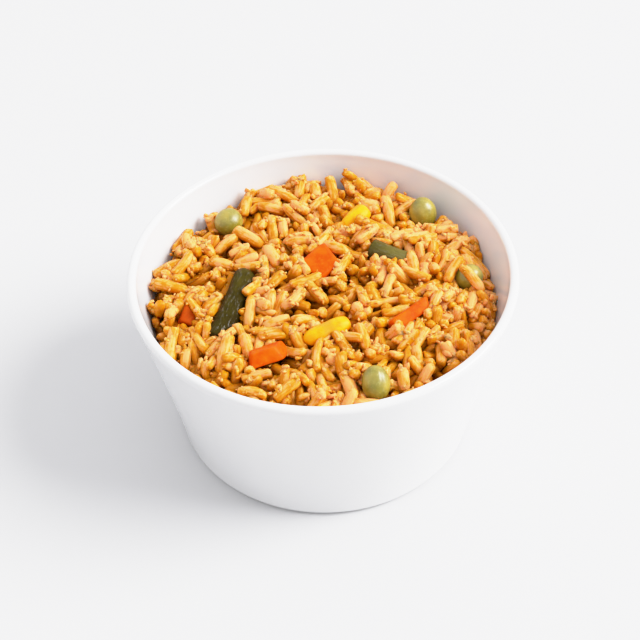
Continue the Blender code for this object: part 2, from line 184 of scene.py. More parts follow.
# How the grains settle: a row of balls stands for each, and those near each other are found every few steps
BALLS_EACH = 4
SETTLING_STEPS = 170
STEPS_A_SEARCH = 4
SEARCH_MARGIN = 0.8
BLOCK_GAP = 0.05
GRAINS_REACH = 53.5
BITS_REACH = 52.5
SURFACE_LIFT = 1.2

# Bits in clusters on the grains: the cluster's number and spread, its reach along the grain, sizes, tint
CLUSTERS = {
    "rice_ends": (3, 0.6, 0.86, (0.8, 1.7), -0.3),
    "rice_flakes": (5, 0.8, 0.0, (1.1, 2.4), -0.3),
    "rice_crumbs": (3, 0.6, 0.0, (0.4, 1.1), -0.1),
}
SPECKS = (1, 0.1, 0.0, (0.3, 0.9))

# Bits between the grains: their depths and sizes
BIT_DEPTHS = (2.4, 5.0)
BIT_SIZES = (1.5, 2.6)

# Tints that go with the colours of the settings
BARE_CLAY = (0.70, 0.68, 0.64)
HERB = (0.035, 0.022, 0.010)
SPICE = (0.12, 0.05, 0.012)
PEA_FRECKLE = (0.50, 0.46, 0.14)
CORN_FOLD = (0.62, 0.24, 0.010)
CARROT_SHADE = (0.24, 0.03, 0.001)
BEAN_SEAM = (0.13, 0.125, 0.022)
BEAN_FLESH = (0.24, 0.205, 0.06)
BEAN_SHADE = (0.012, 0.008, 0.001)

# The room: the half-width of the floor in metres, the side that is dark near the floor, between which
# turns and heights its light changes, and how a camera holds back bright whites, as light in and tone out
FLOOR_REACH = 9.0
DARK_SIDE = (0.32, -0.947, 0.0)
SIDE_BLEND = (-0.2, 0.8)
HEIGHT_BLEND = (0.2, 0.6)
AIR = (0.985, 0.985, 1.0, 1.0)
BRIGHTEST = 4.0
TONES = ((0.62, 0.62), (0.80, 0.76), (1.00, 0.845), (1.30, 0.905), (1.80, 0.94), (2.60, 0.97))


def colour_setting(name, description, *default):
    return FloatVectorProperty(
        name=name, description=description, default=default, min=0.0, max=1.0, subtype="COLOR"
    )


def place_setting(name, description, *default):
    return FloatVectorProperty(
        name=name, description=description, default=default, subtype="TRANSLATION", unit="LENGTH"
    )


def length_setting(name, description, default):
    return FloatProperty(name=name, description=description, default=default, unit="LENGTH")


def angle_setting(name, description, degrees):
    return FloatProperty(
        name=name, description=description, default=math.radians(degrees), subtype="ANGLE"
    )


def share_setting(name, description, default):
    return FloatProperty(
        name=name, description=description, default=default, min=0.0, max=1.0, subtype="FACTOR"
    )


def plain_setting(name, description, default):
    return FloatProperty(name=name, description=description, default=default)


def count_setting(name, description, default, least=0):
    return IntProperty(name=name, description=description, default=default, min=least)


class BowlSettings(bpy.types.PropertyGroup):
    glaze: colour_setting("Glaze", "Colour of the glazed porcelain", 0.79, 0.79, 0.795)
    # Painted light: the inside glaze is bluer to offset the orange light bounced from the rice
    inner_glaze_bounce_offset: colour_setting("Inner glaze", "Colour of the glaze inside the bowl", 0.73, 0.81, 0.875)
    glaze_roughness: share_setting("Glaze roughness", "How matt the glaze is", 0.16)


class RiceSettings(bpy.types.PropertyGroup):
    grain_count: count_setting("Grains", "Number of grains that lie on the core", 980, 1)
    grain_length: length_setting("Grain length", "Mean length of a whole grain", 9.6 * MM)
    grain_width: length_setting("Grain width", "Mean width of a grain", 2.6 * MM)
    layer: length_setting("Layer of grains", "Depth to which loose grains cover the core", 6.5 * MM)
    broken_share: share_setting("Broken share", "Share of the grains that are burst or broken", 0.14)
    end_count: count_setting("Frayed ends", "Number of grain ends burst into small lumps", 520)
    flake_count: count_setting("Burst spots", "Number of spots where a grain has burst", 420)
    crumb_count: count_setting("Crumb spots", "Number of spots where crumbs stick to the grains", 900)
    bit_count: count_setting("Bits between", "Number of broken bits between the grains", 450)
    speck_count: count_setting("Specks", "Number of dark specks of herb and spice", 70)
    seed: count_setting("Seed", "Start of the random draw", 7)
    pale: colour_setting("Pale rice", "Colour of the lightest grains", 0.90, 0.365, 0.12)
    golden: colour_setting("Golden rice", "Colour of the most spiced grains", 0.58, 0.19, 0.002)
    # Painted shade: the dark colour given to the core and to the deep and lower parts of the grains, in
    # place of the shade between the grains
    painted_gap_shade: colour_setting("Stain", "Colour of the oil between the grains", 0.22, 0.064, 0.001)


class VegetableSettings(bpy.types.PropertyGroup):
    pea: colour_setting("Pea", "Colour of the peas", 0.275, 0.222, 0.012)
    corn: colour_setting("Corn", "Colour of the sweetcorn", 0.93, 0.37, 0.002)
    carrot: colour_setting("Carrot", "Colour of the carrot", 0.74, 0.095, 0.002)
    bean: colour_setting("Green bean", "Colour of the green bean's skin", 0.036, 0.026, 0.0025)


class StageSettings(bpy.types.PropertyGroup):
    camera_place: place_setting("Camera", "Where the camera stands", 0.0, -0.3122, 0.3427)
    camera_aim: place_setting("Aim", "The point in the middle of the view", -0.00127, 0.0, 0.0388)
    camera_roll: angle_setting("Roll", "Turn of the camera about its line of sight", -1.776)
    lens: plain_setting("Lens", "Focal length in millimetres on a 36 mm sensor", 77.1)
    floor: colour_setting("Floor", "Colour of the floor", 0.62, 0.62, 0.63)
    key_power: plain_setting("Main light", "Power of the large soft light, in watts", 265.0)
    key_size: length_setting("Main light's size", "Diameter of the main light's disk", 2.6)
    key_distance: length_setting("Main light's distance", "Distance to the main light", 4.0)
    key_elevation: angle_setting("Main light's height", "Its angle above the floor", 39.0)
    key_heading: angle_setting("Main light's heading", "Its turn from +X towards +Y", -3.0)
    fill_side: plain_setting("Side fill", "Strength of the low light from the left and the back", 1.20)
    fill_front: plain_setting("Front fill", "Strength of the low light from the front right", 0.0)
    fill_high: plain_setting("High fill", "Strength of the even light from above", 1.25)


class RiceBowlSettings(bpy.types.PropertyGroup):
    bowl: PointerProperty(type=BowlSettings)
    rice: PointerProperty(type=RiceSettings)
    vegetables: PointerProperty(type=VegetableSettings)
    stage: PointerProperty(type=StageSettings)


# Forms shared by the bowl and the rice


def outer_radius(height):
    """The wall leans out from the foot: the radius grows with a power of the height."""
    high = RIM_HEIGHT - WALL / 2
    share = np.clip((height - FOOT_ROUNDING) / (high - FOOT_ROUNDING), 0.0, 1.0)
    return FOOT_RADIUS + (RIM_RADIUS - FOOT_RADIUS) * share**WALL_LEAN


def inner_radius(height):
    """The inside of the wall: the outside less the wall, and a quarter circle down to the floor."""
    straight = outer_radius(np.maximum(height, FLOOR + INNER_FILLET)) - WALL
    below = 1.0 - np.clip((height - FLOOR) / INNER_FILLET, 0.0, 1.0)
    return straight - INNER_FILLET * (1.0 - np.sqrt(1.0 - below**2))


def round_the_bowl(values, angle):
    """Values given at each eighth of a turn, eased from one to the next by a cubic step."""
    values = np.asarray(values)
    place = (angle / math.tau * len(values)) % len(values)
    first = place.astype(int) % len(values)
    share = place - np.floor(place)
    eased = share * share * (3.0 - 2.0 * share)
    return values[first] * (1.0 - eased) + values[(first + 1) % len(values)] * eased


def ring_stack(radius, height, angle):
    """Level rings of points about +Z: radii and heights by row, angles by column."""
    x, y = radius * np.cos(angle), radius * np.sin(angle)
    return np.stack([x, y, np.broadcast_to(height, x.shape)], axis=-1)


def bowl_rings():
    """A profile turned about +Z: the flat underside, the foot's rounded edge, the leaning wall, a
    half-round lip, the inside of the wall, its fillet and the floor. Sine waves round the bowl, which grow
    with the height, make it a little uneven."""
    lip = WALL / 2
    down = np.radians(np.linspace(-90, 0, 9))
    over = np.radians(np.linspace(0, 180, 19))
    inwards = np.radians(np.linspace(0, 90, 12))[1:]
    wall_up = np.linspace(FOOT_ROUNDING, RIM_HEIGHT - lip, 28)[1:-1]
    wall_down = np.linspace(RIM_HEIGHT - lip, FLOOR + INNER_FILLET, 24)[1:]
    fillet_height = FLOOR + INNER_FILLET * (1.0 - np.sin(inwards))
    underside = np.linspace(0.0, FOOT_RADIUS - FOOT_ROUNDING, 10)[1:-1]
    floor = np.linspace(inner_radius(np.array(FLOOR)), 0.0, 8)[1:-1]
    profile = (
        (underside, 0.0 * underside),
        (FOOT_RADIUS + FOOT_ROUNDING * (np.cos(down) - 1.0), FOOT_ROUNDING * (1.0 + np.sin(down))),
        (outer_radius(wall_up), wall_up),
        (RIM_RADIUS + lip * (np.cos(over) - 1.0), RIM_HEIGHT + lip * (np.sin(over) - 1.0)),
        (inner_radius(wall_down), wall_down),
        (inner_radius(fillet_height), fillet_height),
        (floor, np.full(len(floor), FLOOR)),
    )
    radius, height = [np.concatenate(part)[:, None] for part in zip(*profile)]
    angle = np.arange(BOWL_COLUMNS) / BOWL_COLUMNS * math.tau
    wobble = RIM_WOBBLE * height / RIM_HEIGHT * (np.sin(2 * angle + 0.6) + 0.5 * np.sin(5 * angle))
    return ring_stack(radius * (1.0 + wobble / RIM_RADIUS), height, angle)


def heap_height(x, y):
    """The heap's mean surface: a dome that falls with the square of the radius, then drops to the wall."""
    radius = np.hypot(x, y)
    angle = np.arctan2(y, x)
    dome = (round_the_bowl(SHOULDER_DEPTHS, angle) - CENTRE_DEPTH) * (radius / SHOULDER_RADIUS) ** 2
    edge = np.clip((radius / SHOULDER_RADIUS - EDGE_START) / EDGE_SPAN, 0.0, 1.0)
    return RIM_HEIGHT - CENTRE_DEPTH - dome - round_the_bowl(EDGE_DROPS, angle) * edge**2


def waves(points, wavelength, seed, count=16):
    """Smooth noise of about -1 to 1: a sum of plane waves with random headings and phases."""
    draw = np.random.default_rng(seed)
    headings = draw.normal(size=(count, points.shape[-1]))
    headings /= np.linalg.norm(headings, axis=1, keepdims=True)
    headings *= math.tau / wavelength * draw.uniform(0.6, 1.5, (count, 1))
    phases = draw.uniform(0.0, math.tau, count)
    return np.cos(points @ headings.T + phases).sum(axis=-1) / math.sqrt(2.0 * count)


def turn_of(angles):
    """The rotation that rolls a piece about +X, lifts its +X end by the rise, then heads it round +Z."""
    heading, rise, roll = np.radians(angles)
    cos, sin = np.cos, np.sin
    about_x = np.array([[1, 0, 0], [0, cos(roll), -sin(roll)], [0, sin(roll), cos(roll)]])
    about_y = np.array([[cos(rise), 0, -sin(rise)], [0, 1, 0], [sin(rise), 0, cos(rise)]])
    about_z = np.array([[cos(heading), -sin(heading), 0], [sin(heading), cos(heading), 0], [0, 0, 1]])
    return about_z @ about_y @ about_x


# Meshes


def closed_bodies(name, rings, first, last):
    """A mesh of closed bodies: rings[body, row, side] run round each body, counterclockwise seen from
    its last tip, and a fan of triangles closes each end at its tip. Points are in millimetres."""
    count, rows, sides = rings.shape[:3]
    each = rows * sides + 2
    points = np.concatenate([first[:, None], rings.reshape(count, -1, 3), last[:, None]], axis=1)
    side = np.arange(sides)
    following = (side + 1) % sides
    row = np.arange(rows - 1)[:, None] * sides + 1
    above = row + sides
    quads = np.stack([row + side, row + following, above + following, above + side], axis=-1)
    top = 1 + (rows - 1) * sides
    first_fan = np.stack([0 * side, 1 + following, 1 + side], axis=-1)
    last_fan = np.stack([0 * side + each - 1, top + side, top + following], axis=-1)
    start = (np.arange(count) * each)[:, None, None]
    quads = (start + quads.reshape(-1, 4)).reshape(-1)
    fans = (start + np.concatenate([first_fan, last_fan])).reshape(-1)
    mesh = bpy.data.meshes.new(name)
    mesh.vertices.add(count * each)
    mesh.vertices.foreach_set("co", (points * MM).reshape(-1))
    mesh.loops.add(len(quads) + len(fans))
    mesh.loops.foreach_set("vertex_index", np.concatenate([quads, fans]))
    quad_starts = np.arange(0, len(quads), 4)
    fan_starts = len(quads) + np.arange(0, len(fans), 3)
    mesh.polygons.add(len(quad_starts) + len(fan_starts))
    mesh.polygons.foreach_set("loop_start", np.concatenate([quad_starts, fan_starts]))
    mesh.update(calc_edges=True)
    mesh.shade_smooth()
    return mesh


def one_body(name, rings, first, last):
    """A mesh of a single closed body from rings[row, side] and its two tips."""
    return closed_bodies(name, rings[None], np.asarray(first)[None], np.asarray(last)[None])


def add_attribute(mesh, name, values):
    """A number for each point of the mesh, which its material reads."""
    made = mesh.attributes.new(name, "FLOAT", "POINT")
    made.data.foreach_set("value", np.ascontiguousarray(values, float))


def add_ring_attribute(mesh, name, values, first=0.0, last=0.0):
    """The same for a mesh of one body, from values for its rings and for its two tips."""
    add_attribute(mesh, name, np.concatenate([[first], values.reshape(-1), [last]]))


def add_own_place(mesh, values):
    """A place in the piece's own frame for each point, which a streaked or mottled material reads."""
    made = mesh.attributes.new("own_place", "FLOAT_VECTOR", "POINT")
    made.data.foreach_set("vector", np.ascontiguousarray(values * MM, float).reshape(-1))


def finish_piece(name, mesh, finish, node):
    """Puts a mesh in the scene with its material, hangs it on its body, and hides the solid that it stands
    for.
    """
    mesh.materials.append(finish)
    piece = bpy.data.objects.new(name, mesh)
    bpy.context.scene.collection.objects.link(piece)
    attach(piece, BODY)
    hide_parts(node)


def ball_grid(rows=BALL_ROWS, sides=BALL_SIDES):
    """Unit directions on a ball whose poles lie on the X axis, without the poles themselves."""
    polar = np.linspace(-math.pi / 2, math.pi / 2, rows + 2)[1:-1, None]
    around = np.arange(sides) / sides * math.tau
    along = np.broadcast_to(np.sin(polar), (rows, sides))
    return np.stack([along, np.cos(polar) * np.cos(around), np.cos(polar) * np.sin(around)], axis=-1)


def shaped_ball(name, shape, middle, angles):
    """A ball whose directions a function turns into points, then turned and moved to its place."""
    turn = turn_of(angles)
    middle = np.asarray(middle)
    rings = shape(ball_grid()) @ turn.T + middle
    tips = shape(np.array([[[-1.0, 0.0, 0.0], [1.0, 0.0, 0.0]]])) @ turn.T + middle
    return one_body(name, rings, tips[0, 0], tips[0, 1])


# Materials


class Nodes:
    """A node tree under construction, with short calls for the nodes that the materials share."""

    def __init__(self, tree):
        self.tree = tree

    def node(self, kind, inputs, **settings):
        """A node with its settings, and with its inputs linked or set, by name or by number."""
        made = self.tree.nodes.new(kind)
        for key, value in settings.items():
            setattr(made, key, value)
        for key, value in inputs.items():
            self.link(value, made.inputs[key])
        return made

    def link(self, value, socket):
        if isinstance(value, bpy.types.NodeSocket):
            self.tree.links.new(value, socket)
        else:
            socket.default_value = value

    def spread(self, value, low, high, to_low=0.0, to_high=1.0, kind="SMOOTHSTEP"):
        """Maps a value from low..high to to_low..to_high, held at both ends."""
        inputs = {"Value": value, "From Min": low, "From Max": high, "To Min": to_low, "To Max": to_high}
        return self.node("ShaderNodeMapRange", inputs, interpolation_type=kind).outputs["Result"]

    def height_of(self, place):
        return self.node("ShaderNodeSeparateXYZ", {0: place}).outputs["Z"]


class Finish(Nodes):
    """A node material under construction."""

    def __init__(self, name):
        self.material = bpy.data.materials.new(name)
        self.material.use_nodes = True
        super().__init__(self.material.node_tree)
        self.shader = self.tree.nodes["Principled BSDF"]
        self.place = self.node("ShaderNodeTexCoord", {}).outputs["Object"]

    def set(self, **values):
        """Sets the shader's sockets, named with underscores for spaces."""
        for key, value in values.items():
            self.link(value, self.shader.inputs[key.replace("_", " ")])

    def glow(self, weight, radius, size):
        """Light that spreads under the surface, over about size millimetres."""
        self.set(Subsurface_Weight=weight, Subsurface_Radius=radius, Subsurface_Scale=size * MM)

    def noise(self, size, detail=3.0, roughness=0.5, distortion=0.0, place=None):
        """Noise whose features are about size millimetres wide."""
        inputs = {"Vector": place or self.place, "Scale": 1.0 / (size * MM), "Detail": detail}
        inputs.update({"Roughness": roughness, "Distortion": distortion})
        return self.node("ShaderNodeTexNoise", inputs).outputs["Fac"]

    def stretched(self, scale):
        """The piece's own place, drawn together along X, so that noise on it runs along the piece."""
        own = self.node("ShaderNodeAttribute", {}, attribute_name="own_place").outputs["Vector"]
        return self.node("ShaderNodeMapping", {"Vector": own, "Scale": (scale, 1.0, 1.0)}).outputs["Vector"]

    def math(self, operation, *values):
        return self.node("ShaderNodeMath", dict(enumerate(values)), operation=operation).outputs["Value"]

    def mix(self, share, *colours):
        """A colour between two colours, which are the node's inputs 6 and 7."""
        inputs = {"Factor": share}
        for index, colour in enumerate(colours, 6):
            inputs[index] = colour if isinstance(colour, bpy.types.NodeSocket) else (*colour, 1.0)
        return self.node("ShaderNodeMix", inputs, data_type="RGBA").outputs[2]

    def attribute(self, name):
        return self.node("ShaderNodeAttribute", {}, attribute_name=name).outputs["Fac"]

    def bump(self, height, strength, depth, *normal):
        """Bump of depth millimetres, on top of a normal where one is given."""
        inputs = {"Height": height, "Strength": strength, "Distance": depth * MM}
        inputs.update(zip(["Normal"], normal))
        return self.node("ShaderNodeBump", inputs).outputs["Normal"]


def scaled(colour, *factors):
    return tuple(part * factor for part, factor in zip(colour, factors))


def glaze_finish(settings):
    """White glazed porcelain: very slightly uneven, tinted bluer inside as a painted offset for the orange
    light that the rice throws on the walls, bare under the foot.
    """
    finish = Finish("white_glaze")
    under = finish.spread(finish.height_of(finish.place), 0.2 * MM, 0.5 * MM, 1.0, 0.0)
    cloud = finish.noise(30.0, detail=2.0)
    colour = finish.mix(finish.attribute("inside"), settings.glaze, settings.inner_glaze_bounce_offset)
    colour = finish.mix(finish.spread(cloud, 0.3, 0.7, 0.0, 0.015), colour, (0.0, 0.0, 0.0))
    colour = finish.mix(under, colour, BARE_CLAY)
    rough = finish.spread(under, 0.0, 1.0, settings.glaze_roughness, 0.7)
    ripple = finish.noise(9.0, detail=2.0)
    finish.set(Base_Color=colour, Roughness=rough, Normal=finish.bump(ripple, 0.25, 0.08))
    finish.set(Coat_Weight=0.35, Coat_Roughness=0.06)
    finish.glow(0.08, (1.0, 0.9, 0.8), 1.5)
    return finish.material


def rice_finish(settings, name, tint_shift, glow=1.7):
    """Moist rice: pale to golden from grain to grain, streaked along each grain, stained in patches. As
    painted light and shade, paler on top, golden and darker on the lower sides, and darker deeper in the
    heap."""
    finish = Finish(name)
    depth = finish.attribute("depth")
    rise = finish.attribute("rise")
    streaks = finish.noise(0.7, detail=2.0, roughness=0.55, place=finish.stretched(0.14))
    patches = finish.noise(2.6, roughness=0.6)
    share = finish.math("MULTIPLY_ADD", finish.attribute("tint"), 0.8, 0.05 + tint_shift)
    for part in (
        finish.spread(patches, 0.33, 0.68, -0.28, 0.36),
        finish.spread(streaks, 0.35, 0.65, -0.28, 0.34),
        # Painted light: the upper side of each grain is paler and its lower sides more golden, as light
        # falls from above
        finish.spread(rise, -0.9, 0.9, 0.45, -0.30),
        # Painted shade: grains deeper in the heap are more golden
        finish.spread(depth, 0.0, 0.6, 0.05, 0.7),
    ):
        share = finish.math("ADD", share, part)
    amber = [0.55 * light + 0.45 * dark for light, dark in zip(settings.pale, settings.golden)]
    colour = finish.mix(finish.spread(share, 0.0, 0.5), settings.pale, scaled(amber, 1.0, 1.0, 0.4))
    colour = finish.mix(finish.spread(share, 0.35, 0.85), colour, settings.golden)
    # Painted shade: the lower sides, and the points deep in the heap, are darkened towards the painted gap
    # shade
    painted_underside_shade = finish.spread(rise, -1.0, 0.1, 0.5, 0.0)
    deep = finish.math("MAXIMUM", finish.spread(depth, 0.1, 0.9, 0.0, 0.85), painted_underside_shade)
    colour = finish.mix(deep, colour, settings.painted_gap_shade)
    grit = finish.noise(0.8, detail=4.0, roughness=0.65)
    rough = finish.spread(grit, 0.3, 0.75, 0.20, 0.5)
    ridged = finish.bump(streaks, 0.6, 0.22, finish.bump(grit, 0.4, 0.14))
    finish.set(Base_Color=colour, Roughness=rough, Normal=ridged)
    finish.glow(0.8, (1.0, 0.6, 0.35), glow)
    finish.set(Coat_Weight=0.03, Coat_Roughness=0.10)
    finish.set(Specular_IOR_Level=0.16, Specular_Tint=(1.0, 0.8, 0.45, 1.0))
    return finish.material


def core_finish(settings):
    """The rice between and under the loose grains, golden in patches and otherwise given the dark painted
    shade of the gaps.
    """
    finish = Finish("rice_core")
    patches = finish.noise(2.6, detail=4.0, roughness=0.6)
    light = scaled(settings.golden, 0.9, 0.9, 0.9)
    colour = finish.mix(finish.spread(patches, 0.35, 0.7), settings.painted_gap_shade, light)
    finish.set(Base_Color=colour, Roughness=finish.spread(patches, 0.3, 0.7, 0.4, 0.6))
    finish.set(Normal=finish.bump(patches, 0.6, 0.5))
    return finish.material


def speck_finish():
    """Dark bits of herb and spice."""
    finish = Finish("spice")
    patches = finish.noise(0.8)
    colour = finish.mix(finish.spread(patches, 0.35, 0.65), HERB, SPICE)
    finish.set(Base_Color=colour, Roughness=finish.spread(patches, 0.3, 0.7, 0.35, 0.6))
    return finish.material


def pea_finish(settings):
    """A cooked pea: yellow-green skin, faintly clouded and freckled, moist."""
    finish = Finish("pea")
    clouds = finish.noise(4.5, detail=2.0)
    light = scaled(settings.pea, 1.30, 1.22, 2.4)
    dark = scaled(settings.pea, 0.70, 0.74, 0.5)
    colour = finish.mix(finish.spread(clouds, 0.3, 0.7), dark, light)
    fine = finish.noise(0.7)
    colour = finish.mix(finish.spread(fine, 0.5, 0.75, 0.0, 0.3), colour, PEA_FRECKLE)
    finish.set(Base_Color=colour, Roughness=finish.spread(fine, 0.3, 0.7, 0.30, 0.44))
    finish.set(Normal=finish.bump(fine, 0.3, 0.05, finish.bump(clouds, 0.4, 0.2)))
    finish.glow(0.35, (0.8, 1.0, 0.2), 1.6)
    finish.set(Specular_IOR_Level=0.75)
    return finish.material


def corn_finish(settings):
    """A kernel of sweetcorn: bright yellow under a thin glossy skin, deeper in its folds."""
    finish = Finish("corn")
    clouds = finish.noise(3.4, detail=2.0)
    deep = scaled(settings.corn, 0.95, 0.74, 0.6)
    colour = finish.mix(finish.spread(clouds, 0.35, 0.65), settings.corn, deep)
    folds = finish.spread(finish.attribute("fold"), 0.0, 1.0, 0.0, 0.85)
    colour = finish.mix(folds, colour, CORN_FOLD)
    fine = finish.noise(0.5)
    finish.set(Base_Color=colour, Roughness=finish.spread(fine, 0.3, 0.7, 0.24, 0.40))
    finish.set(Normal=finish.bump(fine, 0.3, 0.06, finish.bump(clouds, 0.5, 0.3)))
    finish.glow(0.4, (1.0, 0.6, 0.1), 1.4)
    finish.set(Specular_IOR_Level=0.25, Specular_Tint=(1.0, 0.8, 0.35, 1.0))
    return finish.material


def carrot_finish(settings):
    """Cut carrot: orange, with faint fibres and lighter edges, and painted shade deep in the rice."""
    finish = Finish("carrot")
    fibres = finish.noise(0.9, distortion=0.6)
    clouds = finish.noise(3.6)
    light = scaled(settings.carrot, 1.216, 1.6, 2.0)
    dark = scaled(settings.carrot, 0.80, 0.60, 0.6)
    colour = finish.mix(finish.spread(clouds, 0.35, 0.65), settings.carrot, dark)
    colour = finish.mix(finish.spread(fibres, 0.45, 0.75, 0.0, 0.35), colour, light)
    colour = finish.mix(finish.spread(finish.attribute("edge"), 0.0, 1.0, 0.0, 0.15), colour, light)
    # Painted shade deep in the rice
    deep = finish.spread(finish.attribute("depth"), 0.2, 0.8, 0.0, 0.75)
    colour = finish.mix(deep, colour, CARROT_SHADE)
    finish.set(Base_Color=colour, Roughness=finish.spread(fibres, 0.3, 0.7, 0.3, 0.5))
    finish.set(Normal=finish.bump(fibres, 0.35, 0.12))
    finish.glow(0.2, (1.0, 0.3, 0.05), 0.9)
    finish.set(Specular_IOR_Level=0.09, Specular_Tint=(1.0, 0.6, 0.3, 1.0))
    return finish.material


def bean_finish(settings):
    """Cooked green bean: dark olive skin with paler seams, wet and wrinkled so that it glints, and pale
    flesh at a cut end."""
    finish = Finish("green_bean")
    clouds = finish.noise(4.0, detail=4.0, roughness=0.6)
    light = scaled(settings.bean, 1.7, 1.8, 2.0)
    colour = finish.mix(finish.spread(clouds, 0.38, 0.70), settings.bean, light)
    seam = finish.spread(finish.attribute("seam"), 0.2, 1.0, 0.0, 0.5)
    colour = finish.mix(seam, colour, BEAN_SEAM)
    colour = finish.mix(finish.attribute("cut"), colour, BEAN_FLESH)
    # Painted shade where the bean lies low in the rice
    deep = finish.spread(finish.attribute("depth"), 0.1, 0.7, 0.0, 0.8)
    colour = finish.mix(deep, colour, BEAN_SHADE)
    wrinkles = finish.noise(0.7, roughness=0.7, place=finish.stretched(0.3))
    finish.set(Base_Color=colour, Roughness=finish.spread(clouds, 0.35, 0.7, 0.35, 0.5))
    creased = finish.bump(wrinkles, 1.0, 0.45, finish.bump(clouds, 0.5, 0.3))
    finish.set(Normal=creased)
    finish.set(Coat_Weight=finish.spread(wrinkles, 0.55, 0.62), Coat_Roughness=0.05, Coat_Normal=creased)
    finish.glow(0.05, (0.6, 1.0, 0.2), 1.0)
    finish.set(Specular_IOR_Level=0.05, Specular_Tint=(1.0, 0.85, 0.45, 1.0))
    return finish.material


# The settling of the grains


def fixed_balls():
    """Balls that fill each vegetable and each laid grain, as centres and radii, which the settling grains
    are kept out of."""
    centres = []
    radii = []
    for middle, angles, sizes, *_ in (*VEGETABLES.values(), *LAID_GRAINS):
        half = np.array([sizes[0], sizes[1], sizes[-1]]) / 2
        radius = half.min()
        steps = []
        for reach in half:
            count = 1 + math.ceil(2.5 * (reach / radius - 1))
            steps.append(np.linspace(radius - reach, reach - radius, count) if count > 1 else np.zeros(1))
        grid = np.stack(np.meshgrid(*steps, indexing="ij"), axis=-1).reshape(-1, 3)
        centres.append(grid @ turn_of(angles).T + np.asarray(middle))
        radii.append(np.full(len(grid), radius))
    return np.concatenate(centres), np.concatenate(radii)


def near_pairs(points, reach, owner):
    """Pairs of balls of unlike grains nearer than reach, found by sorting the balls into cubic cells."""
    cell = np.floor(points / reach).astype(np.int64)
    cell -= cell.min(axis=0) - 1
    span = cell.max(axis=0) + 2
    steps = np.array([span[1] * span[2], span[2], 1])
    key = cell @ steps
    order = np.argsort(key, kind="stable")
    in_order = key[order]
    shifts = [(dx, dy, dz) for dx in (-1, 0, 1) for dy in (-1, 0, 1) for dz in (-1, 0, 1)]
    firsts = []
    seconds = []
    for shift in shifts[len(shifts) // 2:]:
        wanted = key + np.dot(shift, steps)
        low = np.searchsorted(in_order, wanted, "left")
        counts = np.searchsorted(in_order, wanted, "right") - low
        first = np.repeat(np.arange(len(points)), counts)
        begin = np.repeat(low - np.cumsum(counts) + counts, counts)
        second = order[begin + np.arange(len(first))]
        keep = (first < second) if shift == (0, 0, 0) else np.ones(len(first), bool)
        firsts.append(first[keep])
        seconds.append(second[keep])
    first = np.concatenate(firsts)
    second = np.concatenate(seconds)
    near = np.square(points[first] - points[second]).sum(axis=1) < reach**2
    keep = near & (owner[first] != owner[second])
    return first[keep], second[keep]


def uneven_heap(x, y):
    """The heap's surface with its clumps and hollows: the mean form, broad waves and smaller ones, less
    the tops of a third set of waves, which leave pockets that are deeper on the left, and less a bell
    curve at each hollow of the table."""
    place = np.stack([x, y], axis=-1)
    pockets = np.maximum(waves(place, 10.0, 9) - 0.35, 0.0) * (6.5 - 0.11 * x)
    for middle_x, middle_y, width, depth in HOLLOWS:
        from_middle = ((x - middle_x) ** 2 + (y - middle_y) ** 2) / width**2
        pockets = pockets + depth * np.exp(-0.5 * from_middle)
    return heap_height(x, y) + 2.4 * waves(place, 15.0, 5) + 1.5 * waves(place, 8.0, 6) - pockets


def random_places(count, radius, draw):
    """Places strewn evenly over a disc."""
    from_axis = radius * np.sqrt(draw.random(count))
    angle = draw.random(count) * math.tau
    return from_axis * np.cos(angle), from_axis * np.sin(angle)


def random_turns(count, draw):
    """Random rotations, whose first axis, along the grain, is drawn nearer to level than evenly."""
    along = draw.normal(size=(count, 3)) * (1.0, 1.0, 0.55)
    along /= np.linalg.norm(along, axis=1, keepdims=True)
    across = draw.normal(size=(count, 3))
    across -= along * (across * along).sum(axis=1, keepdims=True)
    across /= np.linalg.norm(across, axis=1, keepdims=True)
    return np.stack([along, across, np.cross(along, across)], axis=2)


def grain_forms(count, mean_length, mean_width, broken_share, draw):
    """Lengths and widths near their means, and bends. A broken grain is shorter, wider and straight."""
    broken = draw.random(count) < broken_share
    length = draw.normal(mean_length, 0.1 * mean_length, count)
    length = np.clip(length, 0.7 * mean_length, 1.25 * mean_length)
    length = np.where(broken, length * draw.uniform(0.45, 0.85, count), length)
    width = draw.normal(mean_width, 0.08 * mean_width, count)
    width = np.clip(width, 0.8 * mean_width, 1.2 * mean_width)
    width = np.where(broken, width * draw.uniform(0.95, 1.15, count), width)
    bend = np.where(broken, 0.0, draw.uniform(0.0, 1.3, count))
    return {"length": length, "width": width, "bend": bend, "broken": broken}


def push_apart(points, first, second, touching):
    """Moves the balls of each overlapping pair apart by half the overlap. A ball in several pairs moves
    by the sum of its pushes, divided by a power of their number."""
    between = points[first] - points[second]
    distance = np.linalg.norm(between, axis=1) + 1e-9
    over = touching - distance
    hit = over > 0
    push = between[hit] * (0.5 * over[hit] / distance[hit])[:, None]
    one, other = first[hit], second[hit]
    count = len(points)
    shift = [np.bincount(one, part, count) - np.bincount(other, part, count) for part in push.T]
    hits = np.bincount(np.concatenate([one, other]), minlength=count)
    points += 1.4 * np.stack(shift, axis=1) / np.maximum(hits, 1)[:, None] ** 0.75


def push_out(points, radius, block_centre, block_radius):
    """Moves each ball out of the fixed ball that it lies deepest in."""
    away = points[:, None] - block_centre
    distance = np.linalg.norm(away, axis=2) + 1e-9
    over = radius[:, None] + block_radius + BLOCK_GAP - distance
    worst = over.argmax(axis=1)
    each = np.arange(len(points))
    depth = np.maximum(over[each, worst], 0.0)
    points += away[each, worst] * (depth / distance[each, worst])[:, None]


